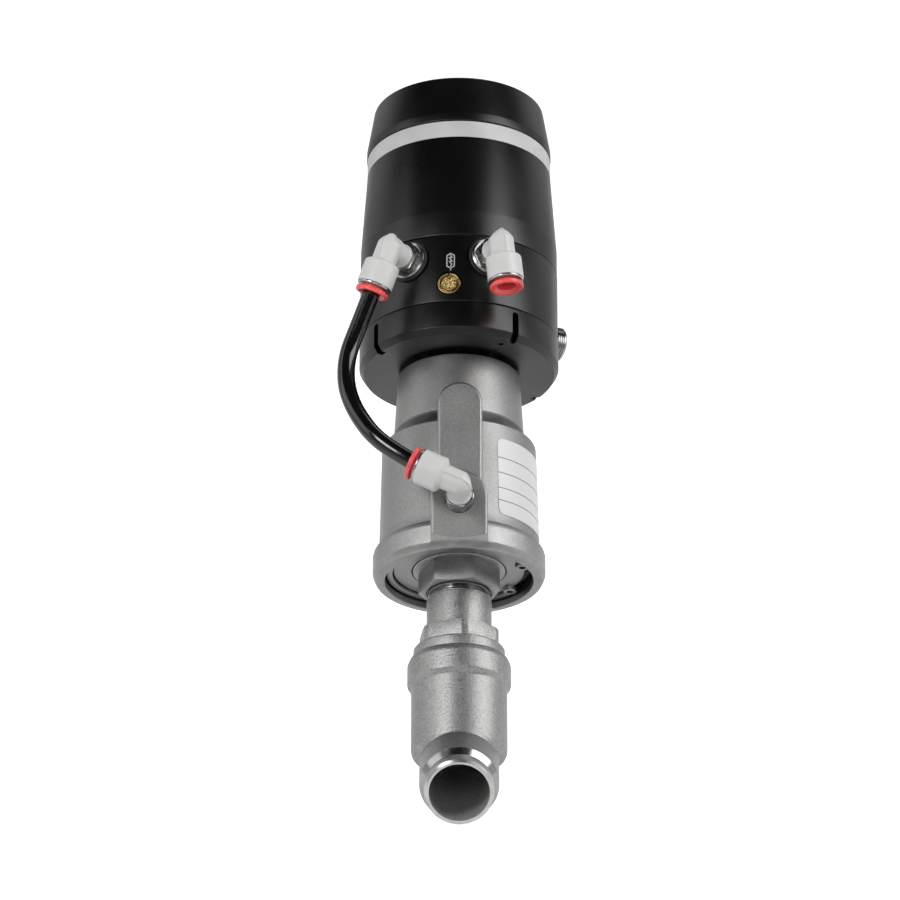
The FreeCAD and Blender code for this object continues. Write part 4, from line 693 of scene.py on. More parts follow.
def valve_body():
    """The casting with its flow path: the bore, parted by the seat's plate, and the plug chamber."""
    body = casting_skin()
    plate_bottom = SEAT_HEIGHT - SEAT_PLATE
    bore = moved(rod("bore", BORE_R, -1.0, FACE_TO_FACE + 1.0, 96), PIPE_IN_STEM)
    cut(bore, box("plate", (-40, -60, plate_bottom), (40, 60, SEAT_HEIGHT)))
    cut(body, bore)
    cut(body, rod("orifice", ORIFICE_R, plate_bottom - 0.5, SEAT_HEIGHT + 0.5, 96))
    cut(body, rod("chamber", CHAMBER_R, SEAT_HEIGHT, BODY_THREAD_BOTTOM + 0.1, 96))
    cut(body, rod("thread", BODY_THREAD_R, BODY_THREAD_BOTTOM, COLLAR_TOP + 2.0, 96))
    in_pipe = PIPE_IN_STEM.inverted()
    near = 0.1
    walls = (
        BORE,
        lambda c, n: (in_pipe @ c).xy.length < BORE_R + near or c.xy.length < CHAMBER_R + near,
    )
    put(body, "valve", CAST, nodes=["valve_body"], faces=[walls], level=True)


def weld_ends():
    """The two turned stubs with their bright tapers."""
    taper = WELD_STUB + WELD_TAPER
    profile = [
        (BORE_R - 0.02, 0.0, 0.1),
        (WELD_R - 0.75, 0.0, 0.1),
        (WELD_R, 0.75),
        (WELD_R + 0.02, WELD_STUB - 0.6),
        (CAST_PIPE_R - 0.05, taper - 0.05),
        (CAST_PIPE_R - 0.05, taper + 0.02),
        (BORE_R - 0.02, taper + 0.02),
    ]
    for name, turn in (("inlet_end", 0), ("outlet_end", 180)):
        end = lathe(name, profile, 160)
        lift = Matrix.Translation((0, 0, FACE_TO_FACE if turn else 0))
        place = PIPE_IN_STEM @ lift @ turned_to(turn, "X")
        inner = (BORE, lambda c, n: c.xy.length < BORE_R + 0.05 and abs(n.z) < 0.5)
        cone = (POLISHED, lambda c, n: c.z > WELD_STUB - 0.55 and c.xy.length > WELD_R)
        put(end, "valve", TURNED, place, angle=15, faces=[inner, cone])


def bonnet():
    profile = [
        (BONNET_BORE_R, 27.8),
        (13.4, 27.8),
        (BONNET_PLUG_R, 28.4),
        (BONNET_PLUG_R, COLLAR_TOP - 0.1),
        (BONNET_FLANGE_R, COLLAR_TOP, 0.4),
        (BONNET_FLANGE_R, BONNET_FLANGE_TOP, 0.6),
        (NECK_R, BONNET_FLANGE_TOP),
        (NECK_R, NECK_TOP, 0.2),
        (SPIGOT_R, NECK_TOP),
        (SPIGOT_R, SPIGOT_TOP),
        (BONNET_BORE_R, SPIGOT_TOP),
    ]
    body = lathe("bonnet_body", profile, 160)
    put(body, "valve", CAST, nodes=["bonnet"])
    corners = (BONNET_HEX_CORNER_R, BONNET_HEX_TURN, 0.35)
    nut = hexagon("bonnet_hexagon", BONNET_HEX_FLATS, BONNET_FLANGE_TOP - 0.4, BONNET_HEX_TOP, *corners)
    # The hexagon's upward faces take the dark steel: a painted shade line along its top edge.
    edge = (PAINTED_SHADE_STEEL, lambda c, n: n.z > 0.35)
    put(nut, "valve", CAST, faces=[edge])


def bonnet_groove():
    """The polished ring with its groove, in the gap between the bonnet's neck and the coupling nut."""
    ring = [(9.0, NECK_TOP), (10.6, NECK_TOP), (10.5, 56.3), (10.15, 56.5)]
    ring += [(10.15, 56.8), (10.5, 57.0), (10.5, 59.6), (9.0, 59.6)]
    put(lathe("bonnet_groove", ring, 160), "valve", POLISHED, angle=15)


# Coupling nut and end plate


def coupling():
    corners = (COUPLING_CORNER_R, COUPLING_TURN, 0.2)
    nut = hexagon("coupling_hexagon", COUPLING_FLATS, COUPLING_BOTTOM, END_COVER_BOTTOM + 0.2, *corners)
    cut(nut, rod("hole", COUPLING_BORE_R, 57.0, 65.6, 96))
    cut(nut, lathe("mouth", [(0, 58.5), (11.5, 58.5), (10.8, 59.8), (0, 59.8)], 96))
    put(nut, "actuator", MILLED, nodes=["coupling_nut"])
    profile = [(10.6, 67.0), (15.6, 67.0, 0.3), (15.6, 68.6), (10.6, 68.6)]
    put(lathe("coupling_flange", profile, 144), "actuator", SATIN)


def end_plate():
    """The turned plate that closes the cylinder, with a stepped groove near its edge whose faces are
    painted black as shade.
    """
    profile = [
        (15.9, END_COVER_BOTTOM, 0.25),
        (21.9, END_COVER_BOTTOM, 0.2),
        (21.9, END_COVER_BOTTOM + 0.9),
        (22.5, END_COVER_BOTTOM + 0.9),
        (22.5, END_COVER_BOTTOM + 2.6),
        (24.85, END_COVER_BOTTOM + 2.6),
        (24.85, RECESS_TOP),
        (9.55, RECESS_TOP),
        (9.55, 68.7),
        (15.9, 68.7),
    ]
    cover = lathe("end_plate", profile, 160)
    # Black rubber on the groove's faces is painted shade.
    groove = (RUBBER, lambda c, n: c.xy.length > 21.8 and END_COVER_BOTTOM + 0.2 < c.z < 71.5)
    put(cover, "actuator", FACED, nodes=["end_cover"], faces=[groove])


def snap_ring():
    """The flat spring ring that holds the end plate, with an eye for the pliers beside its gap, twice."""
    low, high = END_COVER_BOTTOM - 1.1, END_COVER_BOTTOM - 0.02
    inner_r = SNAP_RING_R - 2.0
    profile = [(inner_r, low, 0.2), (SNAP_RING_R, low, 0.3), (SNAP_RING_R, high), (inner_r, high)]
    ring = lathe("snap_ring", profile, 160)
    gap_turn, gap_half, eye_half = (math.radians(angle) for angle in (11.2, 24.5, 27.5))
    reach = 40.0
    angles = [gap_turn + k * gap_half for k in (1, 0, -1)]
    wedge = [(0, 0)] + [(reach * math.cos(angle), reach * math.sin(angle)) for angle in angles]
    cut(ring, prism("gap", wedge, low - 1, high + 1))
    for side in (1, -1):
        angle = gap_turn + side * eye_half
        spot = Matrix.Translation((22.0 * math.cos(angle), 22.0 * math.sin(angle), 0))
        eye = [(SNAP_EYE_R, low - 0.25, 0.1), (2.2, low - 0.25, 0.3), (2.5, high), (SNAP_EYE_R, high)]
        cut(ring, moved(rod("hole", SNAP_EYE_R, low - 1, high + 1, 32), spot))
        combine(ring, moved(lathe("eye", eye, 40), spot), "UNION")
    put(ring, "actuator", FACED, nodes=["retaining_ring"])


# Actuator


def pad(name, flat, width, top, bottom):
    """A flat-faced boss on the front of the cylinder, with a round upper end and softened edges."""
    radius = width / 2
    centre = top - radius
    outline = [(-radius, bottom), (radius, bottom)]
    steps = 32
    for k in range(steps + 1):
        angle = math.pi * k / steps
        outline.append((radius * math.cos(angle), centre + radius * math.sin(angle)))
    inside = 15.0
    solid = prism(name, outline, inside, flat)
    work = bmesh.new()
    work.from_mesh(solid.data)
    edges = [e for e in work.edges if all(v.co.z > flat - 0.01 for v in e.verts)]
    bmesh.ops.bevel(work, geom=edges, offset=1.0, segments=5, affect="EDGES", profile=0.5)
    work.to_mesh(solid.data)
    work.free()
    return moved(solid, turned_to(90, "X"))


def cylinder_shell():
    profile = [
        (RECESS_R, RIM_BOTTOM, 0.3),
        (27.9, RIM_BOTTOM, 1.4),
        (RIM_R, 66.1, 2.0),
        (RIM_R, 71.9, 0.6),
        (28.7, 73.0, 0.5),
        (27.3, 74.3, 0.9),
        (CYLINDER_BOTTOM_R, CYLINDER_BOTTOM),
        (CYLINDER_TOP_R, CYLINDER_SHOULDER, 1.2),
        (23.2, CYLINDER_SHOULDER + 0.3, 0.8),
        (22.3, CYLINDER_NECK_BOTTOM, 0.2),
        (22.0, 117.4, 0.8),
        (20.7, 138.7, 0.5),
        (12.0, 138.7),
        (12.0, 143.0),
        (SPINDLE_BORE_R, 143.0),
        (SPINDLE_BORE_R, SPRING_BORE_TOP),
        (SPRING_BORE_R, SPRING_BORE_TOP),
        (SPRING_BORE_R, PISTON_BORE_TOP),
        (PISTON_BORE_R, PISTON_BORE_TOP),
        (PISTON_BORE_R, RECESS_TOP),
        (RECESS_R, RECESS_TOP),
        (RECESS_R, 65.7),
    ]
    return lathe("actuator_shell", profile, 256)


def actuator():
    """The cylinder with its two pads on the front. Its bores are cut again once the pads are on."""
    shell = cylinder_shell()
    upper = pad("upper_pad", UPPER_PAD_FACE, 15.0, 125.1, 79.5)
    combine(shell, moved(upper, Matrix.Translation((0.3, 0, 0))), "UNION")
    lower = pad("lower_pad", LOWER_PAD_FACE, 19.0, 91.5, 63.9)
    limit = [(0, 63.0), (28.2, 63.9), (28.95, 65.9), (29.7, 66.6)]
    limit += [(31.5, 68.8), (33.0, 73.0), (33.0, 95.0), (0, 95.0)]
    combine(lower, lathe("limit", limit, 256), "INTERSECT")
    combine(shell, lower, "UNION")
    overlap = 0.1
    bores = (
        (RECESS_R, RIM_BOTTOM - 3.5, RECESS_TOP),
        (PISTON_BORE_R, RECESS_TOP - overlap, PISTON_BORE_TOP),
        (SPRING_BORE_R, PISTON_BORE_TOP - overlap, SPRING_BORE_TOP),
    )
    for radius, low, high in bores:
        cut(shell, rod("inside", radius, low, high, 256))
    cut(shell, moved(rod("port", PORT_R, -PORT_DEPTH, 1.0, 48), wall(0, PAD_PORT_HEIGHT, LOWER_PAD_FACE)))
    flats = (MILLED, lambda c, n: n.y < -0.999 and c.y < 0.5 - UPPER_PAD_FACE and abs(n.x) < 0.02)
    bands = (MILLED, lambda c, n: c.xy.length > 24 and 73.0 < c.z < 76.9)
    # The band under the shoulder is painted dark as shade.
    groove = (PAINTED_SHADE_STEEL, lambda c, n: 22.0 < c.xy.length < 25.0 and 112.3 < c.z < CYLINDER_NECK_BOTTOM)
    # The recess wall inside the rim is painted black as shade, seen through the snap ring's gap.
    seat = (RUBBER, lambda c, n: c.xy.length < 25.0 and 65.6 < c.z < RECESS_TOP)
    face = (FACED, lambda c, n: 24.5 < c.xy.length < 29.2 and c.z < 65.6)
    finishes = [flats, bands, groove, seat, face]
    put(shell, "actuator", SATIN, nodes=["actuator_cylinder"], faces=finishes)


def return_spring():
    """The spring above the piston, drawn at one length; the real one shortens towards its upper end as the
    stem lifts.
    """
    bottom, top, turns, mean_r, wire_r = 99.0, SPRING_BORE_TOP, 6, 14.8, 1.55
    steps, around = 48, 14
    points = []
    for i in range(turns * steps + 1):
        angle = 2 * math.pi * i / steps
        height = bottom + wire_r + (top - bottom - 2 * wire_r) * i / (turns * steps)
        for k in range(around):
            turn = 2 * math.pi * k / around
            radius = mean_r + wire_r * math.cos(turn)
            up = height + wire_r * math.sin(turn)
            points.append((radius * math.cos(angle), radius * math.sin(angle), up))
    coil = mesh_object("return_coil", points, tube_faces(turns * steps + 1, around))
    outward(coil)
    put(coil, "actuator", SPRING, nodes=["return_spring"])
    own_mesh(coil)


def label():
    """The data label, blank, with rounded corners."""
    low, high, turn, span = 78.0, 106.2, 29.5, 88.0
    corner = 2.2
    across, up = 48, 24
    slope = (CYLINDER_TOP_R - CYLINDER_BOTTOM_R) / (CYLINDER_SHOULDER - CYLINDER_BOTTOM)
    mean_r = (CYLINDER_BOTTOM_R + CYLINDER_TOP_R) / 2
    width = math.radians(span) * mean_r
    middle = (low + high) / 2
    points, faces = [], []
    for j in range(up + 1):
        height = low + (high - low) * (1 - math.cos(math.pi * j / up)) / 2
        inset = max(0.0, abs(height - middle) - ((high - low) / 2 - corner))
        trim = corner - math.sqrt(max(0.0, corner * corner - inset * inset))
        for i in range(across + 1):
            along = -width / 2 + trim + (width - 2 * trim) * i / across
            angle = math.radians(turn + span / 2) + along / mean_r
            radius = CYLINDER_BOTTOM_R + slope * (height - CYLINDER_BOTTOM) + 0.02
            points.append((radius * math.sin(angle), -radius * math.cos(angle), height))
    for j in range(up):
        for i in range(across):
            k = j * (across + 1) + i
            faces.append([k, k + 1, k + across + 2, k + across + 1])
    piece = mesh_object("label_film", points, faces)
    thick = piece.modifiers.new("thickness", "SOLIDIFY")
    thick.thickness = 0.18
    thick.offset = 1.0
    bake(piece)
    outward(piece)
    put(piece, "actuator", label_paper(), nodes=["name_label"])


# Positioner


def slot_cutter(turn):
    """An upright slot in the side of the base, open below, with a round upper end."""
    half = SLOT_W / 2
    high = SLOT_TOP - half
    outline = [(-half, BASE_BOTTOM - 1), (half, BASE_BOTTOM - 1)]
    angles = [math.pi * k / 16 for k in range(17)]
    outline += [(half * math.cos(angle), high + half * math.sin(angle)) for angle in angles]
    cutter = prism("slot", outline, BASE_R - 3.4, BASE_R + 1)
    return moved(moved(cutter, turned_to(90, "X")), turned_to(turn, "Z"))


def positioner_base():
    """The lower ring with its four slots and a small vent underneath."""
    profile = [
        (4.0, 144.4),
        (4.0, 143.2),
        (12.05, 143.2),
        (12.05, BASE_BOTTOM),
        (32.4, BASE_BOTTOM, 0.35),
        (BASE_R, 142.4, 0.35),
        (BASE_R, HOUSING_BOTTOM - PART_LINE, 0.35),
        (25.5, HOUSING_BOTTOM - PART_LINE),
        (25.5, 154.9),
        (23.5, 154.9),
        (23.5, 144.4),
    ]
    base = lathe("base_ring", profile, 256)
    for k in range(4):
        cut(base, slot_cutter(SLOT_TURN + 90 * k))
    vent = rod("vent", 0.9, BASE_BOTTOM - 1, BASE_BOTTOM + 2.5, 24)
    moved(vent, Matrix.Translation((0, -28.2, 0)))
    cut(base, moved(vent, turned_to(30.0, "Z")))
    put(base, "actuator", BLACK, nodes=["positioner_base"])


def positioner_housing():
    """The middle ring, with holes for two elbows, the silencer and the plug connector."""
    profile = [
        (25.55, HOUSING_BOTTOM),
        (HOUSING_R, HOUSING_BOTTOM, 0.35),
        (HOUSING_R, HOUSING_TOP - PART_LINE, 0.35),
        (31.0, HOUSING_TOP - PART_LINE),
        (31.0, 180.0),
        (29.0, 180.0),
        (29.0, HOUSING_TOP - PART_LINE),
        (25.55, HOUSING_TOP - PART_LINE),
    ]
    housing = lathe("housing_ring", profile, 256)
    ports = (
        (PORT_R, PORT_DEPTH, OUTLET_TURN, PORT_HEIGHT),
        (PORT_R, PORT_DEPTH, SUPPLY_TURN, PORT_HEIGHT),
        (4.25, 6.0, SILENCER_TURN, SILENCER_HEIGHT),
        (5.05, 9.0, CONNECTOR_TURN, CONNECTOR_HEIGHT),
    )
    for radius, depth, turn, height in ports:
        cut(housing, moved(rod("port", radius, -depth, 2.0, 48), wall(turn, height, HOUSING_R)))
    put(housing, "actuator", BLACK, nodes=["positioner_housing"])


def positioner_cover():
    profile = [
        (31.05, HOUSING_TOP),
        (COVER_R, HOUSING_TOP, 0.35),
        (COVER_R, COVER_CONE_BOTTOM, 6.0),
        (COVER_TOP_R, COVER_TOP, 0.2),
        (28.95, COVER_TOP),
        (31.05, COVER_CONE_BOTTOM),
    ]
    cover = lathe("cover_shell", profile, 256)
    put(cover, "actuator", BLACK, nodes=["positioner_cover"])


def light_ring():
    profile = [
        (26.75, 212.6),
        (28.8, 212.6),
        (28.8, COVER_TOP),
        (COVER_TOP_R, COVER_TOP, 0.2),
        (COVER_TOP_R, LIGHT_RING_TOP, 0.2),
        (26.75, LIGHT_RING_TOP),
    ]
    ring = lathe("light_band", profile, 256)
    put(ring, "actuator", LIGHT, nodes=["light_ring"])


def top_cap():
    profile = [
        (24.3, 218.7),
        (26.7, 218.7),
        (26.7, LIGHT_RING_TOP + PART_LINE),
        (CAP_R, LIGHT_RING_TOP + PART_LINE, 0.3),
        (CAP_R, 224.9, 2.0),
        (29.2, CAP_TOP, 0.8),
        (0, CAP_TOP),
        (0, 237.4),
        (26.6, 237.4),
        (24.3, 224.9),
    ]
    cap = lathe("cap_shell", profile, 256)
    put(cap, "cap", BLACK, nodes=["top_cap"], level=True)


def silencer():
    """The brass silencer: a rim around a domed sintered core, both with a short screwdriver slot."""
    place = wall(SILENCER_TURN, SILENCER_HEIGHT, HOUSING_R)
    rim = [(0, -5.9), (3.9, -5.9), (3.9, -0.3, 0.25), (3.3, -0.3, 0.2), (3.05, -1.5), (0, -1.5)]
    body = lathe("silencer_body", rim, 64)
    core = lathe("silencer_core", [(0, -1.6), (2.7, -1.6), (2.7, -0.5, 0.5), (0, -0.35)], 48)
    for piece in (body, core):
        cut(piece, box("slot", (-5, -0.35, -1.3), (-1.5, 0.35, 1)))
    put(body, "actuator", BRASS, place, ["silencer"])
    put(core, "actuator", SINTER, place)


def flow_symbol():
    """The small white sign for an exhaust above the silencer: a flow path in a pointed frame."""
    place = wall(-4.8, 167.0, HOUSING_R + 0.05)
    half, shoulder, tip = 1.25, 2.0, 2.75
    upper_line = [(-tip, 0), (-shoulder, half), (shoulder, half)]
    lower_line = [(tip, 0), (shoulder, -half), (-shoulder, -half)]
    path = [(-shoulder, 0.0), (-1.2, 0.5), (-1.2, -0.45), (0.2, 0.5)]
    path += [(0.2, -0.45), (1.3, 0.4), (shoulder, 0.0)]
    lines = [(upper_line + lower_line, True, 0.36), (path, False, 0.34)]
    lines.append(([(tip, 0), (tip + 0.7, 0)], False, 0.36))
    strips = []
    for points, closed, width in lines:
        ends = points[1:] + points[:1] if closed else points[1:]
        for (x0, y0), (x1, y1) in zip(points, ends):
            along = Vector((x1 - x0, y1 - y0))
            strip = box("line", (-width / 2, -width / 2, -0.1), (along.length + width / 2, width / 2, 0.02))
            turn = Matrix.Rotation(math.atan2(along.y, along.x), 4, "Z")
            strips.append(moved(strip, Matrix.Translation((x0, y0, 0)) @ turn))
    put(join("flow_symbol", strips), "actuator", PRINT, place)


def connector():
    """The sleeve of the plug connector, its thread drawn as four ring grooves."""
    place = wall(CONNECTOR_TURN, CONNECTOR_HEIGHT, HOUSING_R)
    start, root_r, socket_r = 0.9, 5.45, 4.4
    corners = [(0, -10.0), (5.0, -10.0), (5.0, 0.5), (CONNECTOR_R, 0.5), (CONNECTOR_R, start)]
    for k in range(4):
        low = start + THREAD_PITCH * k
        corners += [(root_r, low + 0.25), (root_r, low + 0.4), (CONNECTOR_R, low + 0.7)]
    corners += [(CONNECTOR_R, 4.4), (5.5, 5.0, 0.2), (socket_r, 5.0), (socket_r, -4.0), (0, -4.0)]
    shell = lathe("connector_sleeve", corners, 72)
    put(shell, "actuator", NICKEL, place, ["connector_shell"])


# Push-in elbows, drawn upright: the stud along Z from the wall, the arm along X at ELBOW_HEIGHT


ARM_AXIS = Matrix.Translation((0, 0, ELBOW_HEIGHT)) @ turned_to(90, "Y")
OUTLET_PLACE = wall(OUTLET_TURN, PORT_HEIGHT, HOUSING_R, 23.7)
SUPPLY_PLACE = wall(SUPPLY_TURN, PORT_HEIGHT, HOUSING_R, -6.3)
ACTUATOR_PLACE = wall(0.0, PAD_PORT_HEIGHT, LOWER_PAD_FACE, 115.6)


def stud(name, flanged, nut_turn):
    """The plated stud with its hexagon, which has a round flange under it at the two larger ports."""
    hex_bottom, hex_top = (1.9, 4.8) if flanged else (0.0, 4.8)
    profile = [(1.8, -5.4), (4.85, -5.4, 0.4), (4.85, hex_bottom), (2.9, hex_top), (2.9, 8.0), (1.8, 8.0)]
    core = lathe(name + "_metal", profile, 64)
    flats, corner = (10.0, 5.7) if flanged else (9.0, 4.9)
    nut = hexagon(name + "_nut", flats, hex_bottom - 0.02, hex_top, corner, nut_turn, 0.1)
    pieces = [core, cut(nut, rod("hole", 2.4, -1.0, 6.0, 48))]
    if flanged:
        flange = [(4.0, 1.0), (6.5, 1.0, 0.15), (6.5, 1.55, 0.15), (5.9, 1.95), (4.0, 1.95)]
        pieces.append(lathe("flange", flange, 72))
    return join(name + "_metal", pieces)


def vault_shape(s):
    """Place, half width and height of the elbow's pointed end, from its tip at s = 0 to the arm at 1."""
    along = -ELBOW_APEX + 5.8 * s
    half_width = 0.2 + 4.5 * (1 - (1 - s) ** 2) ** 0.85
    height = 0.05 + 4.4 * math.sqrt(1 - (1 - s) ** 2)
    return along, half_width, height


def vault(name):
    """The solid that shapes the elbow's end: pointed as seen from outside, and round down its back."""
    points = []
    steps, around = 18, 20
    for i in range(steps + 2):
        s = min(1.0, i / steps) ** 1.5
        x, half_width, height = vault_shape(s)
        x = 9.0 if i > steps else x
        floor = -1.4 - 5.0 * min(1.0, s / 0.12)
        points.append((x, half_width, floor))
        for k in range(around + 1):
            angle = math.pi * k / around
            points.append((x, half_width * math.cos(angle), height * math.sin(angle)))
        points.append((x, -half_width, floor))
    solid = mesh_object(name, points, tube_faces(steps + 2, around + 3))
    outward(solid)
    return moved(solid, Matrix.Translation((0, 0, ELBOW_HEIGHT)))


def seam_line(proud):
    """The (along, out) line of the mould's seam, from the leg over the tip and along the arm."""
    leg = -ELBOW_LEG_R - proud
    line = [(leg, SEAM_BOTTOM), (leg, ELBOW_HEIGHT - 3.0), (-ELBOW_APEX - proud, ELBOW_HEIGHT - 1.0)]
    steps = 12
    for k in range(steps + 1):
        s = (k / steps) ** 1.5
        x, _, height = vault_shape(s)
        lean = math.pi / 2 * math.sqrt(s)
        height = min(height, ELBOW_ARM_R)
        line.append((x - proud * math.cos(lean), ELBOW_HEIGHT + height + proud * math.sin(lean)))
    line.append((SLEEVE_START - 0.6, ELBOW_HEIGHT + ELBOW_ARM_R + proud))
    return line


def elbow(name):
    """The moulded elbow: leg and arm meet in a pointed vault, with the mould's seam along its back."""
    foot = ELBOW_FOOT
    leg = rod("leg", ELBOW_LEG_R, foot, ELBOW_HEIGHT, 72)
    arm = moved(rod("arm", ELBOW_ARM_R, -ELBOW_APEX, SLEEVE_START, 72), ARM_AXIS)
    combine(arm, vault("vault"), "INTERSECT")
    line = seam_line(SEAM_PROUD) + [(SLEEVE_START - 0.6, ELBOW_HEIGHT), (0, ELBOW_HEIGHT), (0, SEAM_BOTTOM)]
    seam = moved(prism("seam", line, -SEAM_HALF_W, SEAM_HALF_W), turned_to(90, "X"))
    ring = [(0, foot), (4.2, foot, 0.15), (4.2, foot + 0.8, 0.15), (3.95, foot + 1.2), (0, foot + 1.2)]
    profile = [
        (0, SLEEVE_START - 1.3),
        (ELBOW_ARM_R - 0.3, SLEEVE_START - 1.3),
        (ELBOW_SLEEVE_R, SLEEVE_START + 0.2, 0.8),
        (ELBOW_SLEEVE_R, SLEEVE_END, 0.3),
        (0, SLEEVE_END),
    ]
    sleeve = lathe("sleeve", profile, 96)
    body = skin(name + "_body", [leg, arm, moved(sleeve, ARM_AXIS)], 0.15, 3)
    combine(body, lathe("foot", ring, 72), "UNION")
    combine(body, seam, "UNION")
    cut(body, moved(rod("tube_hole", 4.75, 8.0, SLEEVE_END + 1, 64), ARM_AXIS))
    cut(body, moved(rod("stop_hole", 3.1, 6.9, 9.0, 48), ARM_AXIS))
    return body


def collar(name):
    profile = [(4.03, 10.7), (4.7, 10.7), (4.7, 14.3)]
    profile += [(5.85, 14.3, 0.1), (5.85, 15.2, 0.5), (4.03, 15.2, 0.2)]
    return lathe(name + "_metal_collar", profile, 96)


def release_ring(name):
    profile = [
        (3.15, 9.9),
        (3.95, 9.9),
        (3.95, 16.1),
        (5.65, 16.1, 0.3),
        (5.65, 17.6, 0.4),
        (4.5, 17.5, 0.6),
        (3.15, 16.7, 0.2),
    ]
    return lathe(name + "_red_ring", profile, 96)


def fitting(name, place, flanged, elbow_body, nut_turn):
    """One push-in fitting: O-ring where there is one, stud, elbow, collar and release ring."""
    across = place @ ARM_AXIS
    if flanged:
        seal = lathe(name + "_oring", [(4.95, 0.0), (7.3, 0.0, 0.3), (7.3, 1.0, 0.3), (4.95, 1.0)], 72)
        put(seal, "actuator", RUBBER, place, [name + "_stud_seal"])
    put(stud(name, flanged, nut_turn), "actuator", NICKEL, place, [name + "_stud"])
    put(elbow(name), elbow_body, GREY_PLASTIC, place, [name + "_elbow"])
    put(collar(name), elbow_body, NICKEL, across, [name + "_collar"])
    ring_body = name + "_push_ring"
    put(release_ring(name), ring_body, RED, across, [name + "_release_ring"])


# Air tube


def air_tube():
    """One curve through the listed points of the tube's route, in the stem frame."""
    held = Vector((7.0, 0, ELBOW_HEIGHT))
    ahead = Vector((27.0, 0, ELBOW_HEIGHT))
    route = [
        OUTLET_PLACE @ held,
        OUTLET_PLACE @ ahead,
        Vector((-38.5, -33.0, 129.0)),
        Vector((-36.5, -37.0, 111.5)),
        ACTUATOR_PLACE @ ahead,
        ACTUATOR_PLACE @ held,
    ]
    curve = bpy.data.curves.new("air_hose", "CURVE")
    curve.dimensions = "3D"
    curve.bevel_depth = TUBE_R * MM
    curve.bevel_resolution = 8
    curve.resolution_u = 24
    curve.use_fill_caps = True
    spline = curve.splines.new("NURBS")
    spline.points.add(len(route) - 1)
    spots = [STEM @ (spot * MM) for spot in route]
    for point, spot in zip(spline.points, spots):
        point.co = (*spot, 1)
    spline.order_u = 3
    spline.use_endpoint_u = True
    hose = add_object("air_hose", curve)
    curve.materials.append(HOSE)
    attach(hose, "actuator")
    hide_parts("air_tube")


# Studio


# Each lamp's name, place, target and size in metres, and its power in watts.
LAMPS = (
    ("box_left", (-0.60, 0.10, 0.40), (0, 0.1, 0.12), (0.46, 0.42), 0.8),
    ("low_left", (-0.30, -0.18, 0.43), (0, 0.04, 0.05), (0.15, 0.20), 1.0),
    ("box_right", (0.52, 0.02, 0.48), (0, 0.1, 0.12), (0.34, 0.56), 2.6),
    ("front", (0.0, -1.05, 0.82), (0, 0.1, 0.1), (0.9, 0.3), 2.2),
    ("back", (0.1, 0.95, 0.95), (0, 0.15, 0.12), (0.8, 0.4), 1.6),
)
LENS_MM = 240
FILM_MM = 36
CAMERA_SPOT = (-0.00304, -1.8009, 0.7670)
CAMERA_TILT_DEG = 70.2
# The sky's strength at the horizon and from SKY_RISE upwards, which SKY_BACK raises behind the object.
SKY_LOW = 0.62
SKY_HIGH = 0.015
SKY_RISE = 0.45
SKY_BACK = 0.30
# The floor's own colour, its glow where it is seen, and the share of that glow in gloss.
FLOOR_COLOUR = 0.85
FLOOR_WHITE = 0.85
FLOOR_GLOSS = 0.40
FLOOR_HALF = 6
FLOOR_DROP = 0.0005


def background_ray(tree, glossy=0.0):
    """1 for a ray that shows the background, from the camera or through glass, and less in gloss."""
    path = shader_node(tree, "LightPath")
    seen = path.outputs["Is Camera Ray"]
    for kind, share in (("Is Transmission Ray", 1.0), ("Is Glossy Ray", glossy)):
        part = maths(tree, "MULTIPLY", path.outputs[kind], share)
        seen = maths(tree, "MAXIMUM", seen, part)
    return seen


def area_light(name, spot, target, size, power):
    """A rectangular lamp at a spot, aimed at a target."""
    lamp = bpy.data.lights.new(name, "AREA")
    lamp.shape = "RECTANGLE"
    lamp.size, lamp.size_y = size
    lamp.energy = power
    light = add_object(name, lamp)
    light.location = spot
    light.visible_camera = False
    light.rotation_euler = (Vector(target) - Vector(spot)).to_track_quat("-Z", "Y").to_euler()


def photo_camera():
    scene = bpy.context.scene
    scene.view_settings.view_transform = "Standard"
    camera = add_object("camera", bpy.data.cameras.new("camera"))
    camera.data.lens = LENS_MM
    camera.data.sensor_width = FILM_MM
    camera.location = CAMERA_SPOT
    camera.rotation_euler = (math.radians(CAMERA_TILT_DEG), 0, 0)
    scene.camera = camera


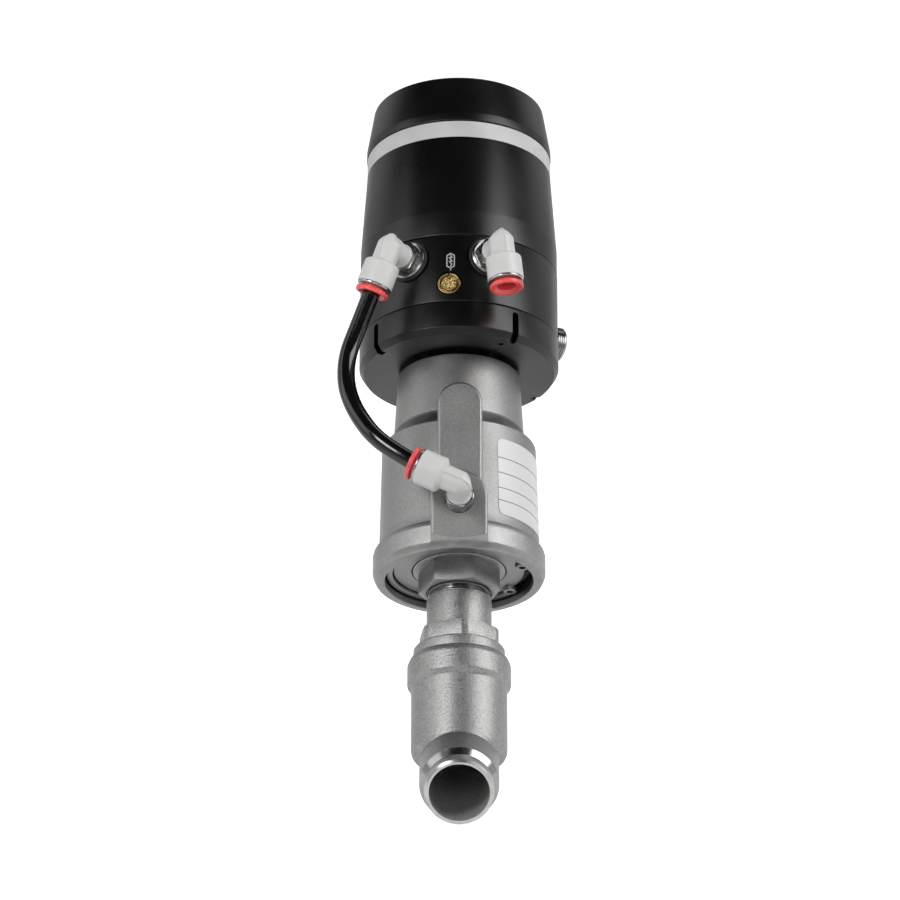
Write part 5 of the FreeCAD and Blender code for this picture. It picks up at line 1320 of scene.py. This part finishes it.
def sky():
    """A world that is light at the horizon and dark overhead, and white where it is seen directly."""
    world = bpy.data.worlds.new("world")
    bpy.context.scene.world = world
    world.use_nodes = True
    tree = world.node_tree
    background = tree.nodes["Background"]
    parts = shader_node(tree, "SeparateXYZ")
    tree.links.new(shader_node(tree, "TexCoord").outputs["Generated"], parts.inputs[0])
    behind = maths(tree, "MAXIMUM", parts.outputs["Y"], 0.0)
    lowered = maths(tree, "MULTIPLY_ADD", behind, -SKY_BACK, parts.outputs["Z"])
    gradient = shader_node(tree, "MapRange", From_Max=SKY_RISE, To_Min=SKY_LOW, To_Max=SKY_HIGH)
    gradient.interpolation_type = "SMOOTHSTEP"
    tree.links.new(lowered, gradient.inputs["Value"])
    level = shader_node(tree, "Mix", B=1.0)
    tree.links.new(background_ray(tree), level.inputs["Factor"])
    tree.links.new(gradient.outputs["Result"], level.inputs["A"])
    background.inputs["Color"].default_value = (1, 1, 1, 1)
    tree.links.new(level.outputs["Result"], background.inputs["Strength"])


def pale_floor():
    corners = [(-1, -1), (1, -1), (1, 1), (-1, 1)]
    points = [(x * FLOOR_HALF, y * FLOOR_HALF, 0) for x, y in corners]
    floor = mesh_object("floor", points, [[0, 1, 2, 3]])
    floor.location.z = cad_box[0].z - FLOOR_DROP
    white = (1, 1, 1, 1)
    matte = Paint("floor_white", [FLOOR_COLOUR] * 3, 0.0, 0.9, Specular_IOR_Level=0.0, Emission_Color=white)
    glow = maths(matte.tree, "MULTIPLY", background_ray(matte.tree, FLOOR_GLOSS), FLOOR_WHITE)
    matte.link(glow, matte.shader.inputs["Emission Strength"])
    floor.data.materials.append(matte.material)


def finish_kept_nodes():
    """Every CAD node that still shows gets the finish of its material slot."""
    for name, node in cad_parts.items():
        slots = {m.name.split(".")[0] for m in node.data.materials if m}
        found = [s for s in SLOT_FINISH if any(s in m for m in slots)]
        if found:
            for k in range(len(node.data.materials)):
                node.data.materials[k] = SLOT_FINISH[found[0]]


photo_camera()
sky()
for lamp_values in LAMPS:
    area_light(*lamp_values)
pale_floor()
air_tube()
valve_body()
weld_ends()
bonnet()
bonnet_groove()
coupling()
end_plate()
snap_ring()
actuator()
return_spring()
label()
positioner_base()
positioner_housing()
positioner_cover()
light_ring()
top_cap()
silencer()
flow_symbol()
connector()
fitting("outlet", OUTLET_PLACE, True, "actuator", 53.7)
fitting("supply", SUPPLY_PLACE, True, "supply_swivel", 16.0)
fitting("actuator", ACTUATOR_PLACE, False, "actuator", 12.0)
finish_kept_nodes()
